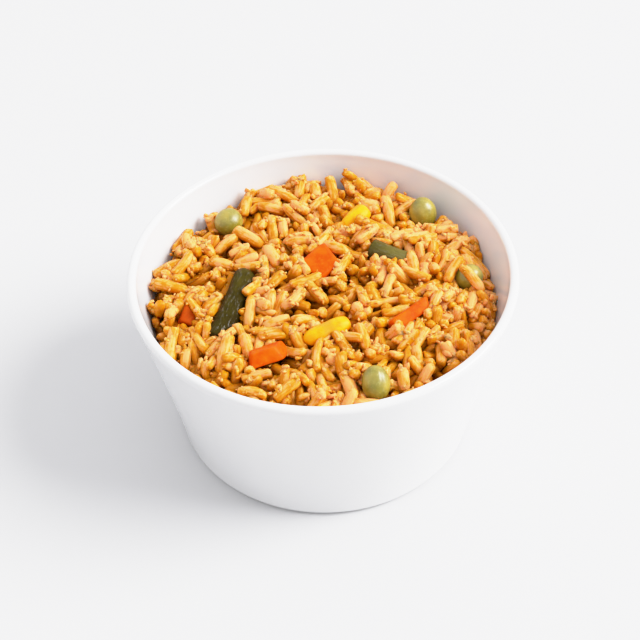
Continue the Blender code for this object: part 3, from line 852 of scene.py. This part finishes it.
def keep_in_layer(points, radius, layer):
    """Eases balls down that stand above the heap, and holds all above the core and inside the wall."""
    surface = uneven_heap(points[:, 0], points[:, 1])
    highest = np.minimum(surface + 1.6, RIM_HEIGHT - TOP_DEPTH - radius)
    points[:, 2] -= 0.3 * np.maximum(points[:, 2] - highest, 0.0)
    points[:, 2] += np.maximum(surface - layer - points[:, 2], 0.0)
    from_axis = np.hypot(points[:, 0], points[:, 1])
    limit = inner_radius(points[:, 2]) - radius - GAP
    points[:, :2] *= np.minimum(1.0, limit / np.maximum(from_axis, 1e-6))[:, None]


def rigid_again(grouped, local, turn, proud):
    """Each grain's middle and rotation nearest to where its balls went, by the singular value
    decomposition of their spread. A grain that stands higher than it may is first eased down."""
    centre = grouped.mean(axis=1)
    over = centre[:, 2] - uneven_heap(centre[:, 0], centre[:, 1]) - proud
    grouped = grouped - np.stack([0.0 * over, 0.0 * over, 0.5 * np.maximum(over, 0.0)], axis=1)[:, None]
    centre = grouped.mean(axis=1)
    moment = np.einsum("nki,nkj->nij", grouped - centre[:, None], local) + 2.0 * turn
    left, _, right = np.linalg.svd(moment)
    left[:, :, 2] *= np.linalg.det(left @ right)[:, None]
    return centre, left @ right


@functools.lru_cache(maxsize=1)
def settled_grains(count, mean_length, mean_width, layer, broken_share, seed):
    """Grains packed in the top layer of the heap. Each is a rigid row of balls. In every step the balls
    that overlap are pushed apart, and out of the vegetables, the wall and the core; then each grain takes
    the rigid position nearest to its balls."""
    draw = np.random.default_rng(seed)
    forms = grain_forms(count, mean_length, mean_width, broken_share, draw)
    length, width = forms["length"], forms["width"]
    reach = np.maximum(0.5 * (length - width), 0.1)
    local = np.zeros((count, BALLS_EACH, 3))
    local[:, :, 0] = np.linspace(-1.0, 1.0, BALLS_EACH) * reach[:, None]
    local[:, :, 2] = -forms["bend"][:, None] * np.square(local[:, :, 0] / (0.5 * length[:, None]))
    lift = -local[:, :, 2].mean(axis=1)
    local[:, :, 2] += lift[:, None]
    radius = np.repeat(0.5 * width, BALLS_EACH)
    owner = np.repeat(np.arange(count), BALLS_EACH)
    x, y = random_places(count, GRAINS_REACH, draw)
    centre = np.stack([x, y, uneven_heap(x, y) - layer * draw.random(count)], axis=1)
    turn = random_turns(count, draw)
    proud = np.clip(draw.normal(-0.9, 0.8, count), -2.2, 0.8)
    blocks = fixed_balls()
    for step in range(SETTLING_STEPS):
        points = (np.einsum("nij,nkj->nki", turn, local) + centre[:, None]).reshape(-1, 3)
        if step % STEPS_A_SEARCH == 0:
            first, second = near_pairs(points, 2.0 * radius.max() + SEARCH_MARGIN, owner)
            touching = radius[first] + radius[second]
        push_apart(points, first, second, touching)
        push_out(points, radius, *blocks)
        keep_in_layer(points, radius, layer)
        centre, turn = rigid_again(points.reshape(local.shape), local, turn, proud)
    depth = np.clip((uneven_heap(centre[:, 0], centre[:, 1]) - centre[:, 2]) / layer, 0.0, 1.0)
    return {"centre": centre, "turn": turn, "depth": depth, "lift": lift, **forms}


def core_rings(layer):
    """The body under the grains, turned about +Z: up beside the wall, then inwards over the uneven heap's
    surface, lowered by the layer of grains and roughened by two sets of waves."""
    angle = np.arange(CORE_COLUMNS) / CORE_COLUMNS * math.tau
    edge = inner_radius(np.array(RIM_HEIGHT - CORE_EDGE_DEPTH)) - GAP
    from_axis = edge * np.linspace(1.0, 0.02, 60)[:, None]
    place = ring_stack(from_axis, 0.0, angle)[..., :2]
    top = uneven_heap(place[..., 0], place[..., 1]) - layer - GAP
    top += 0.5 * waves(place, 3.4, 21) + 0.5 * waves(place, 7.0, 22)
    top_rings = ring_stack(np.minimum(from_axis, inner_radius(top) - GAP), top, angle)
    side_height = np.linspace(FLOOR + GAP, RIM_HEIGHT - CORE_SIDE_DEPTH, 14)[:, None]
    side_rings = ring_stack(inner_radius(side_height) - GAP, side_height, angle)
    return np.concatenate([side_rings, top_rings])


def with_laid_grains(grains):
    """The settled grains and, after them, those of the table that lie on top."""
    middles, angles, sizes = zip(*LAID_GRAINS)
    sizes = np.array(sizes)
    laid = {
        "centre": np.array(middles),
        "turn": np.stack([turn_of(each) for each in angles]),
        "length": sizes[:, 0],
        "width": sizes[:, 1],
        "bend": np.full(len(sizes), LAID_BEND),
        "lift": np.full(len(sizes), LAID_LIFT),
        "broken": np.zeros(len(sizes), dtype=bool),
        "depth": np.zeros(len(sizes)),
    }
    return {key: np.concatenate([grains[key], laid[key]]) for key in grains}


def grains_from(settings):
    sizes = [size / MM for size in (settings.grain_length, settings.grain_width, settings.layer)]
    settled = settled_grains(settings.grain_count, *sizes, settings.broken_share, settings.seed)
    return with_laid_grains(settled)


def grain_bodies(name, grains, chosen, lumps, lump_size, seed):
    """Meshes the chosen grains. Along a grain the radius is a superellipse of the length, with its own
    power at each end, and its section is a superellipse too. Each side has its own reach, which makes
    ridges, and the ends are ragged and slanted. Lumps of a given size swell and dent it, and its middle
    line is a parabola. Each point keeps its place in the grain, how far it faces up, and a tint."""
    draw = np.random.default_rng(seed)
    count = int(chosen.sum())
    rows = np.array(GRAIN_ROWS)[None, :, None]
    sides = GRAIN_SIDES
    length = grains["length"][chosen][:, None, None]
    width = grains["width"][chosen][:, None, None]
    bend = grains["bend"][chosen][:, None, None]
    around = (np.arange(sides) / sides * math.tau)[None, None, :]

    def drawn(low, high):
        return draw.uniform(low, high, (count, 1, 1))

    power = np.where(rows < 0, drawn(2.6, 8.0), drawn(2.6, 8.0))
    profile = np.clip(1.0 - np.abs(rows) ** power, 0.0, 1.0) ** (1.0 / power)
    taper = 1.0 + drawn(-0.12, 0.12) * rows
    ridges = 1.0 + draw.uniform(-0.10, 0.07, (count, 1, sides))
    ragged = 1.0 + draw.uniform(-0.14, 0.10, (count, rows.size, sides)) * np.abs(rows) ** 4
    corners = drawn(2.0, 3.2)
    turned = around + drawn(0.0, math.tau)
    section = (np.abs(np.cos(turned)) ** corners + np.abs(np.sin(turned)) ** corners) ** (-1.0 / corners)
    radius = RADIUS_SHARE * width * profile * taper * ridges * ragged * section
    tear = draw.uniform(-0.07, 0.05, (count, 1, sides)) * np.abs(rows) ** 6 * np.sign(rows)
    slant = drawn(-0.10, 0.10) * np.cos(around - drawn(0.0, math.tau)) * np.abs(rows) ** 4 * profile
    x = HALF_LENGTH_SHARE * length * (rows + tear + slant)
    y = radius * np.cos(around)
    z = radius * np.sin(around) * drawn(0.78, 1.0)
    local = np.stack([x, y, z], axis=-1)
    offset = draw.uniform(0.0, 400.0, (count, 1, 1, 3))
    swell = 1.0 + lumps * waves(local + offset, lump_size, seed)
    local[..., 1] *= swell
    local[..., 2] *= swell
    local[..., 2] += grains["lift"][chosen][:, None, None] - bend * rows**2
    centre = grains["centre"][chosen][:, None, None]
    points = np.einsum("nij,nrsj->nrsi", grains["turn"][chosen], local) + centre
    outwards = local * (0.0, 1.0, 1.0)
    outwards /= np.linalg.norm(outwards, axis=-1, keepdims=True) + 1e-6
    rise = np.einsum("nj,nrsj->nrs", grains["turn"][chosen][:, 2], outwards)[:, 1:-1].reshape(count, -1)
    mesh = closed_bodies(name, points[:, 1:-1], points[:, 0].mean(axis=1), points[:, -1].mean(axis=1))
    add_attribute(mesh, "rise", np.pad(rise, ((0, 0), (1, 1))).reshape(-1))
    add_attribute(mesh, "tint", np.repeat(draw.beta(1.4, 1.4, count), (rows.size - 2) * sides + 2))
    own = [local[:, :1].mean(axis=2), local[:, 1:-1].reshape(count, -1, 3), local[:, -1:].mean(axis=2)]
    add_own_place(mesh, np.concatenate(own, axis=1) + offset[:, 0])
    return mesh


def make_grains(context, name, broken, lumps, lump_size, seed, tint_shift):
    """Makes all whole grains, or all broken ones, as one piece."""
    settings = context.scene.rice_bowl.rice
    grains = grains_from(settings)
    mesh = grain_bodies(name, grains, grains["broken"] == broken, lumps, lump_size, seed)
    add_depth(mesh, settings.layer)
    finish_piece(name, mesh, rice_finish(settings, name, tint_shift), "rice")


def add_depth(mesh, layer, sunk=0.0):
    """How deep each point lies below the heap's mean surface, from 0 at the top to 1 at the core, which the
    materials turn into painted shade. A piece in a hollow is that much deeper than its height says."""
    points = np.empty(len(mesh.vertices) * 3)
    mesh.vertices.foreach_get("co", points)
    x, y, z = points.reshape(-1, 3).T / MM
    below = heap_height(x, y) + SURFACE_LIFT + sunk - z
    add_attribute(mesh, "depth", np.clip(below / (layer / MM), 0.0, 1.0))


def lumps_at(name, middle, sizes, draw):
    """Small uneven bits at the given middles: balls stretched, dented and turned at random."""
    count = len(middle)
    rows, sides = 3, 6
    stretch = draw.uniform(0.55, 1.0, (count, 1, 1, 3)) * (1.9, 1.0, 1.0)
    size = draw.uniform(*sizes, (count, 1, 1, 1)) / 2 * stretch
    rings = ball_grid(rows, sides)[None] * size * draw.uniform(0.7, 1.3, (count, rows, sides, 1))
    tips = np.array([-1.0, 0.0, 0.0]) * size[:, 0, 0]
    axes = np.linalg.qr(draw.normal(size=(count, 3, 3)))[0]
    axes[:, :, 2] *= np.linalg.det(axes)[:, None]
    rings = np.einsum("nij,nrsj->nrsi", axes, rings)
    first = np.einsum("nij,nj->ni", axes, tips)
    offsets = np.concatenate([first[:, None], rings.reshape(count, -1, 3), -first[:, None]], axis=1)
    mesh = closed_bodies(name, rings + middle[:, None, None], first + middle, middle - first)
    add_attribute(mesh, "tint", np.repeat(draw.uniform(0.1, 0.8, count), rows * sides + 2))
    add_attribute(mesh, "rise", (offsets[..., 2] / np.linalg.norm(offsets, axis=-1)).reshape(-1))
    add_own_place(mesh, offsets + middle[:, None])
    return mesh


def lumps_on_grains(grains, clusters, each_cluster, spread, reach, draw):
    """Middles of bits in clusters on the upper side of the upper grains: at their ends where reach is
    near one, and all along them where reach is nought."""
    host = draw.choice(np.flatnonzero(grains["depth"] < 0.5), clusters)
    along = draw.uniform(reach, 1.0, clusters) * draw.choice((-1.0, 1.0), clusters)
    around = draw.uniform(0.0, math.tau, clusters)
    outwards = 0.5 * grains["width"][host] * np.sqrt(1.0 - 0.75 * along**2)
    reached = 0.46 * grains["length"][host] * along
    local = np.stack([reached, outwards * np.cos(around), outwards * np.sin(around)], axis=1)
    offset = np.einsum("nij,nj->ni", grains["turn"][host], local)
    side = offset - grains["turn"][host][:, :, 0] * local[:, :1]
    offset[:, 2] += np.where(side[:, 2] < 0, -2.0 * side[:, 2], 0.0)
    middle = np.repeat(grains["centre"][host] + 0.9 * offset, each_cluster, axis=0)
    return middle + draw.normal(size=middle.shape) * spread * (1.0, 1.0, 0.5)


def lumps_between_grains(count, depths, draw):
    """Middles of bits that fill the gaps between the upper grains, clear of the vegetables and the wall."""
    x, y = random_places(count, BITS_REACH, draw)
    middle = np.stack([x, y, uneven_heap(x, y) - draw.uniform(*depths, count)], axis=1)
    block_centre, block_radius = fixed_balls()
    clear = np.linalg.norm(middle[:, None] - block_centre, axis=2) - block_radius
    inside = np.hypot(x, y) < inner_radius(middle[:, 2]) - 1.6
    return middle[inside & (clear.min(axis=1) > 0.9)]


# The vegetables' forms


def pea_form(sizes, seed, seam=0.0):
    """A pea: a ball, a little flatter above, with a shallow dent and a wrinkled skin."""
    length, width = sizes

    def shape(directions):
        along = directions[..., 0]
        points = directions * (length / 2, width / 2, width / 2)
        points[..., 1] *= 1.0 - 0.05 * along
        upper = points[..., 2] > 0
        points[..., 2] *= np.where(upper, 1.0 - 0.06 * (1.0 - along**2), 1.0)
        dent = np.exp(-np.square((1.0 - along) / 0.05))
        crease = np.exp(-np.square((directions[..., 1] + 0.35) / 0.06)) * (directions[..., 2] > -0.2)
        wrinkle = 0.008 * waves(directions, 0.8, seed) + 0.004 * waves(directions, 0.3, seed + 1)
        return points * (1.0 - 0.03 * dent - seam * crease + wrinkle)[..., None]

    return shape


def corn_form(sizes, lobes, seed):
    """A kernel: squared off at its crown and narrower at its root; two that grew together have a waist."""
    length, width, thickness = sizes

    def shape(directions):
        along = directions[..., 0]
        squared = np.sign(along) * np.abs(along) ** 0.72
        fuller = 1.0 + 0.22 * along**2
        waist = np.exp(-np.square(squared / 0.16))
        taper = 1.0 + 0.14 * squared if lobes == 1 else 1.0 - 0.07 * waist
        dimple = 0.06 * np.exp(-np.square((1.0 - along) / 0.12))
        wrinkle = 1.0 + 0.02 * waves(directions, 0.9, seed)
        x = squared * length / 2 * (1.0 - dimple)
        y = directions[..., 1] * width / 2 * fuller * taper * wrinkle
        z = directions[..., 2] * thickness / 2 * fuller * (0.5 + 0.5 * taper) * wrinkle
        return np.stack([x, y, z], axis=-1)

    return shape


def carrot_form(sizes, slant, seed):
    """A dice of carrot: a ball drawn out to a box with rounded edges, its top smaller and one end slanted.
    The distance in a direction is that of the box whose sides are blended by a high power."""
    half = np.asarray(sizes) / 2
    power = 9.0

    def shape(directions):
        reach = (np.abs(directions / half) ** power).sum(axis=-1) ** (-1.0 / power)
        points = directions * reach[..., None]
        along, across, up = np.moveaxis(points / half, -1, 0)
        upper = 0.5 + 0.5 * up
        near = 0.5 + 0.5 * along
        points[..., 0] *= 1.0 - slant * upper
        points[..., 1] *= 1.0 - 0.5 * slant * upper
        points[..., 0] += across * slant * sizes[1] * near
        worn = 0.018 * waves(directions, 0.9, seed) + 0.006 * waves(directions, 0.3, seed)
        return points * (1.0 + worn)[..., None]

    return shape


def bean_rings(sizes, bow, round_end, seed, rows=60, sides=40):
    """A cut length of bean: a tube, slightly flat, bowed as a parabola, with a seam along each edge and
    fine ribs; one end is round or cut, the other is cut. The seam's strength comes with the points."""
    length, width = sizes
    half = length / 2
    radius = width / 2
    if round_end:
        nose_start = 0.72
        nose_length = 1.0 - nose_start
        tip = nose_start + nose_length * np.sin(np.linspace(0.12, 1.5, 10))
        along = np.concatenate([[-1.0, -1.0], np.linspace(-0.985, nose_start, rows), tip])
        nose = np.clip((along - nose_start) / nose_length, 0.0, 1.0)
        profile = np.sqrt(np.clip(1.0 - nose**2.4, 0.0, 1.0))
    else:
        along = np.concatenate([[-1.0, -1.0], np.linspace(-0.97, 0.97, rows), [1.0, 1.0]])
        profile = np.ones(len(along))
        profile[-2:] = (0.9, 0.45)
    profile[:2] = (0.4, 0.86)
    around = np.arange(sides) / sides * math.tau
    along, profile, around = np.broadcast_arrays(along[:, None], profile[:, None], around)
    seam = np.exp(-np.square(np.sin(around) / 0.10))
    ribs = 0.012 * np.cos(9.0 * around) + 0.010 * np.cos(5.0 * around + 1.0)
    reach = radius * profile * (1.0 + ribs + 0.035 * seam * profile)
    spots = np.stack([along * half, radius * np.cos(around), radius * np.sin(around)], axis=-1)
    reach = reach * (1.0 + 0.02 * waves(spots, 6.0, seed) + 0.008 * waves(spots, 1.6, seed + 1))
    y = reach * np.cos(around) + bow * (along**2 - 0.4)
    z = 0.92 * reach * np.sin(around)
    return np.stack([along * half, y, z], axis=-1), seam


# Operators


class RICE_BOWL_OT_bowl(bpy.types.Operator):
    """Makes the white glazed bowl"""

    bl_idname = "rice_bowl.bowl"
    bl_label = "Make bowl"

    def execute(self, context):
        rings = bowl_rings()
        mesh = one_body("bowl_glazed", rings, (0.0, 0.0, 0.0), (0.0, 0.0, FLOOR))
        inside = np.clip(np.linspace(-1.0, 1.0, len(rings)), 0.0, 1.0)
        add_ring_attribute(mesh, "inside", np.repeat(inside, BOWL_COLUMNS), 0.0, 1.0)
        finish = glaze_finish(context.scene.rice_bowl.bowl)
        finish_piece("bowl_glazed", mesh, finish, "bowl")
        return {"FINISHED"}


class RICE_BOWL_OT_core(bpy.types.Operator):
    """Makes the body of rice under the loose grains, with relief where it shows between them"""

    bl_idname = "rice_bowl.core"
    bl_label = "Make rice core"

    def execute(self, context):
        settings = context.scene.rice_bowl.rice
        rings = core_rings(settings.layer / MM)
        last = (0.0, 0.0, rings[-1, :, 2].mean())
        mesh = one_body("rice_core", rings, (0.0, 0.0, FLOOR + GAP), last)
        finish_piece("rice_core", mesh, core_finish(settings), "rice")
        return {"FINISHED"}


class RICE_BOWL_OT_grains(bpy.types.Operator):
    """Makes the whole grains"""

    bl_idname = "rice_bowl.grains"
    bl_label = "Make whole grains"

    def execute(self, context):
        make_grains(context, "rice_grains", False, 0.06, 2.2, 31, 0.0)
        return {"FINISHED"}


class RICE_BOWL_OT_broken(bpy.types.Operator):
    """Makes the burst and broken grains"""

    bl_idname = "rice_bowl.broken"
    bl_label = "Make broken grains"

    def execute(self, context):
        make_grains(context, "rice_broken", True, 0.2, 1.7, 32, -0.1)
        return {"FINISHED"}


class RICE_BOWL_OT_crumbs(bpy.types.Operator):
    """Makes the small bits of rice stuck to the grains, and the dark bits of spice"""

    bl_idname = "rice_bowl.crumbs"
    bl_label = "Make crumbs and spice"

    def execute(self, context):
        settings = context.scene.rice_bowl.rice
        grains = grains_from(settings)
        draw = np.random.default_rng(41)
        kinds = []
        for count, (name, (each, spread, reach, sizes, shift)) in zip(
            (settings.end_count, settings.flake_count, settings.crumb_count), CLUSTERS.items()
        ):
            kinds.append((name, lumps_on_grains(grains, count, each, spread, reach, draw), sizes, shift))
        bits = lumps_between_grains(settings.bit_count, BIT_DEPTHS, draw)
        for name, middles, sizes, shift in (*kinds, ("rice_bits", bits, BIT_SIZES, 0.0)):
            mesh = lumps_at(name, middles, sizes, draw)
            add_depth(mesh, settings.layer)
            finish_piece(name, mesh, rice_finish(settings, name, shift, 0.9), "rice")
        *cluster, sizes = SPECKS
        middles = lumps_on_grains(grains, settings.speck_count, *cluster, draw)
        specks = lumps_at("spice_specks", middles, sizes, draw)
        finish_piece("spice_specks", specks, speck_finish(), "rice")
        return {"FINISHED"}


class RICE_BOWL_OT_peas(bpy.types.Operator):
    """Makes the peas"""

    bl_idname = "rice_bowl.peas"
    bl_label = "Make peas"

    def execute(self, context):
        finish = pea_finish(context.scene.rice_bowl.vegetables)
        for seed, (name, (middle, angles, sizes)) in enumerate(PEAS.items(), 51):
            seam = 0.035 if name == "pea_front" else 0.0
            mesh = shaped_ball(name + "_skin", pea_form(sizes, seed, seam), middle, angles)
            finish_piece(name + "_skin", mesh, finish, name)
        return {"FINISHED"}


class RICE_BOWL_OT_corn(bpy.types.Operator):
    """Makes the kernels of sweetcorn"""

    bl_idname = "rice_bowl.corn"
    bl_label = "Make sweetcorn"

    def execute(self, context):
        finish = corn_finish(context.scene.rice_bowl.vegetables)
        for seed, (name, (middle, angles, sizes, lobes)) in enumerate(CORN.items(), 61):
            mesh = shaped_ball(name + "_kernel", corn_form(sizes, lobes, seed), middle, angles)
            along = ball_grid()[..., 0]
            fold = np.exp(-np.square(along / 0.14)) if lobes == 2 else 0.5 * (along < -0.9)
            add_ring_attribute(mesh, "fold", fold)
            finish_piece(name + "_kernel", mesh, finish, name)
        return {"FINISHED"}


class RICE_BOWL_OT_carrots(bpy.types.Operator):
    """Makes the pieces of carrot"""

    bl_idname = "rice_bowl.carrots"
    bl_label = "Make carrots"

    def execute(self, context):
        finish = carrot_finish(context.scene.rice_bowl.vegetables)
        for seed, (name, (middle, angles, sizes, slant)) in enumerate(CARROTS.items(), 71):
            mesh = shaped_ball(name + "_cut", carrot_form(sizes, slant, seed), middle, angles)
            ordered = np.sort(np.abs(ball_grid() / sizes), axis=-1)
            edge = (ordered[..., 1] / ordered[..., 2] - 0.86) / 0.12
            add_ring_attribute(mesh, "edge", np.clip(edge, 0.0, 1.0))
            add_depth(mesh, context.scene.rice_bowl.rice.layer, SUNK.get(name, 0.0))
            finish_piece(name + "_cut", mesh, finish, name)
        return {"FINISHED"}


class RICE_BOWL_OT_beans(bpy.types.Operator):
    """Makes the pieces of green bean"""

    bl_idname = "rice_bowl.beans"
    bl_label = "Make green beans"

    def execute(self, context):
        finish = bean_finish(context.scene.rice_bowl.vegetables)
        for seed, (name, (middle, angles, sizes, bow, round_end)) in enumerate(BEANS.items(), 81):
            rings, seam = bean_rings(sizes, bow, round_end, seed)
            turn = turn_of(angles)
            first, last = rings[0].mean(axis=0), rings[-1].mean(axis=0)
            if round_end:
                last[0] = sizes[0] / 2
            own = np.concatenate([[first], rings.reshape(-1, 3), [last]])
            mesh = one_body(name + "_pod", *(part @ turn.T + middle for part in (rings, first, last)))
            cut = np.zeros(seam.shape)
            cut[0] = 1.0
            if not round_end:
                cut += np.linspace(0.1, 0.5, len(cut))[:, None]
                cut[-1] = 1.0
            add_own_place(mesh, own)
            add_ring_attribute(mesh, "seam", seam)
            add_ring_attribute(mesh, "cut", cut, 1.0, cut[-1, 0])
            add_depth(mesh, context.scene.rice_bowl.rice.layer, SUNK.get(name, 0.0))
            finish_piece(name + "_pod", mesh, finish, name)
        return {"FINISHED"}


class RICE_BOWL_OT_stage(bpy.types.Operator):
    """Makes the pale floor, the soft lights and the camera"""

    bl_idname = "rice_bowl.stage"
    bl_label = "Make stage"

    def execute(self, context):
        settings = context.scene.rice_bowl.stage
        self.make_floor(settings)
        self.make_lights(context, settings)
        self.make_camera(context, settings)
        self.make_tones(context)
        return {"FINISHED"}

    def make_floor(self, settings):
        """A level square."""
        mesh = bpy.data.meshes.new("floor")
        corners = [(x * FLOOR_REACH, y * FLOOR_REACH, 0.0) for x, y in ((-1, -1), (1, -1), (1, 1), (-1, 1))]
        mesh.from_pydata(corners, [], [(0, 1, 2, 3)])
        finish = Finish("floor")
        finish.set(Base_Color=(*settings.floor, 1.0), Roughness=0.75, Specular_IOR_Level=0.2)
        mesh.materials.append(finish.material)
        floor = bpy.data.objects.new("floor", mesh)
        bpy.context.scene.collection.objects.link(floor)

    def make_lights(self, context, settings):
        """An even sky that is darker low on one side, and one large soft lamp aimed at the bowl."""
        world = bpy.data.worlds.new("soft_room")
        world.use_nodes = True
        room = Nodes(world.node_tree)
        direction = room.node("ShaderNodeTexCoord", {}).outputs["Generated"]
        facing = room.node("ShaderNodeVectorMath", {0: direction, 1: DARK_SIDE}, operation="DOT_PRODUCT")
        low_fills = (settings.fill_side, settings.fill_front)
        low = room.spread(facing.outputs["Value"], *SIDE_BLEND, *low_fills, kind="LINEAR")
        strength = room.spread(room.height_of(direction), *HEIGHT_BLEND, low, settings.fill_high)
        background = room.tree.nodes["Background"]
        room.link(strength, background.inputs["Strength"])
        room.link(AIR, background.inputs["Color"])
        context.scene.world = world
        lamp = bpy.data.lights.new("main_light", "AREA")
        lamp.shape = "DISK"
        lamp.size = settings.key_size
        lamp.energy = settings.key_power
        light = bpy.data.objects.new("main_light", lamp)
        up = settings.key_elevation
        heading = settings.key_heading
        level = Vector((math.cos(heading), math.sin(heading), 0.0))
        towards = math.cos(up) * level + Vector((0.0, 0.0, math.sin(up)))
        light.location = settings.key_distance * towards
        light.rotation_mode = "QUATERNION"
        light.rotation_quaternion = towards.to_track_quat("Z", "Y")
        context.scene.collection.objects.link(light)

    def make_camera(self, context, settings):
        """A camera that looks from its place at its aim, turned by its roll."""
        data = bpy.data.cameras.new("camera")
        data.lens = settings.lens
        data.sensor_width = 36.0
        data.clip_start = 0.01
        camera = bpy.data.objects.new("camera", data)
        camera.location = settings.camera_place
        towards = Vector(settings.camera_aim) - Vector(settings.camera_place)
        roll = Quaternion((0.0, 0.0, 1.0), settings.camera_roll)
        camera.rotation_mode = "QUATERNION"
        camera.rotation_quaternion = towards.to_track_quat("-Z", "Y") @ roll
        context.scene.collection.objects.link(camera)
        context.scene.camera = camera

    def make_tones(self, context):
        """Holds back bright whites, as a camera does, by a straight line that bends over near white."""
        view = context.scene.view_settings
        view.view_transform = "Standard"
        view.use_curve_mapping = True
        mapping = view.curve_mapping
        mapping.clip_max_x = BRIGHTEST
        mapping.clip_max_y = BRIGHTEST
        all_channels = mapping.curves[3]
        all_channels.points[-1].location = (BRIGHTEST, 1.0)
        for tone in TONES:
            all_channels.points.new(*tone)
        mapping.update()


class RICE_BOWL_PT_panel(bpy.types.Panel):
    bl_label = "Bowl of Rice"
    bl_idname = "RICE_BOWL_PT_panel"
    bl_space_type = "VIEW_3D"
    bl_region_type = "UI"
    bl_category = "Rice"

    def draw(self, context):
        settings = context.scene.rice_bowl
        for part in ("bowl", "rice", "vegetables", "stage"):
            group = getattr(settings, part)
            box = self.layout.box()
            box.label(text=part.capitalize())
            for name in group.__annotations__:
                box.prop(group, name)
        for operator in OPERATORS:
            self.layout.operator(operator.bl_idname)


OPERATORS = (
    RICE_BOWL_OT_bowl,
    RICE_BOWL_OT_core,
    RICE_BOWL_OT_grains,
    RICE_BOWL_OT_broken,
    RICE_BOWL_OT_crumbs,
    RICE_BOWL_OT_peas,
    RICE_BOWL_OT_corn,
    RICE_BOWL_OT_carrots,
    RICE_BOWL_OT_beans,
    RICE_BOWL_OT_stage,
)
CLASSES = (
    BowlSettings,
    RiceSettings,
    VegetableSettings,
    StageSettings,
    RiceBowlSettings,
    *OPERATORS,
    RICE_BOWL_PT_panel,
)


def register():
    for cls in CLASSES:
        bpy.utils.register_class(cls)
    bpy.types.Scene.rice_bowl = PointerProperty(type=RiceBowlSettings)


def unregister():
    del bpy.types.Scene.rice_bowl
    for cls in reversed(CLASSES):
        bpy.utils.unregister_class(cls)


def main():
    register()
    for operator in OPERATORS:
        category, name = operator.bl_idname.split(".")
        getattr(getattr(bpy.ops, category), name)()


if __name__ == "__main__":
    main()
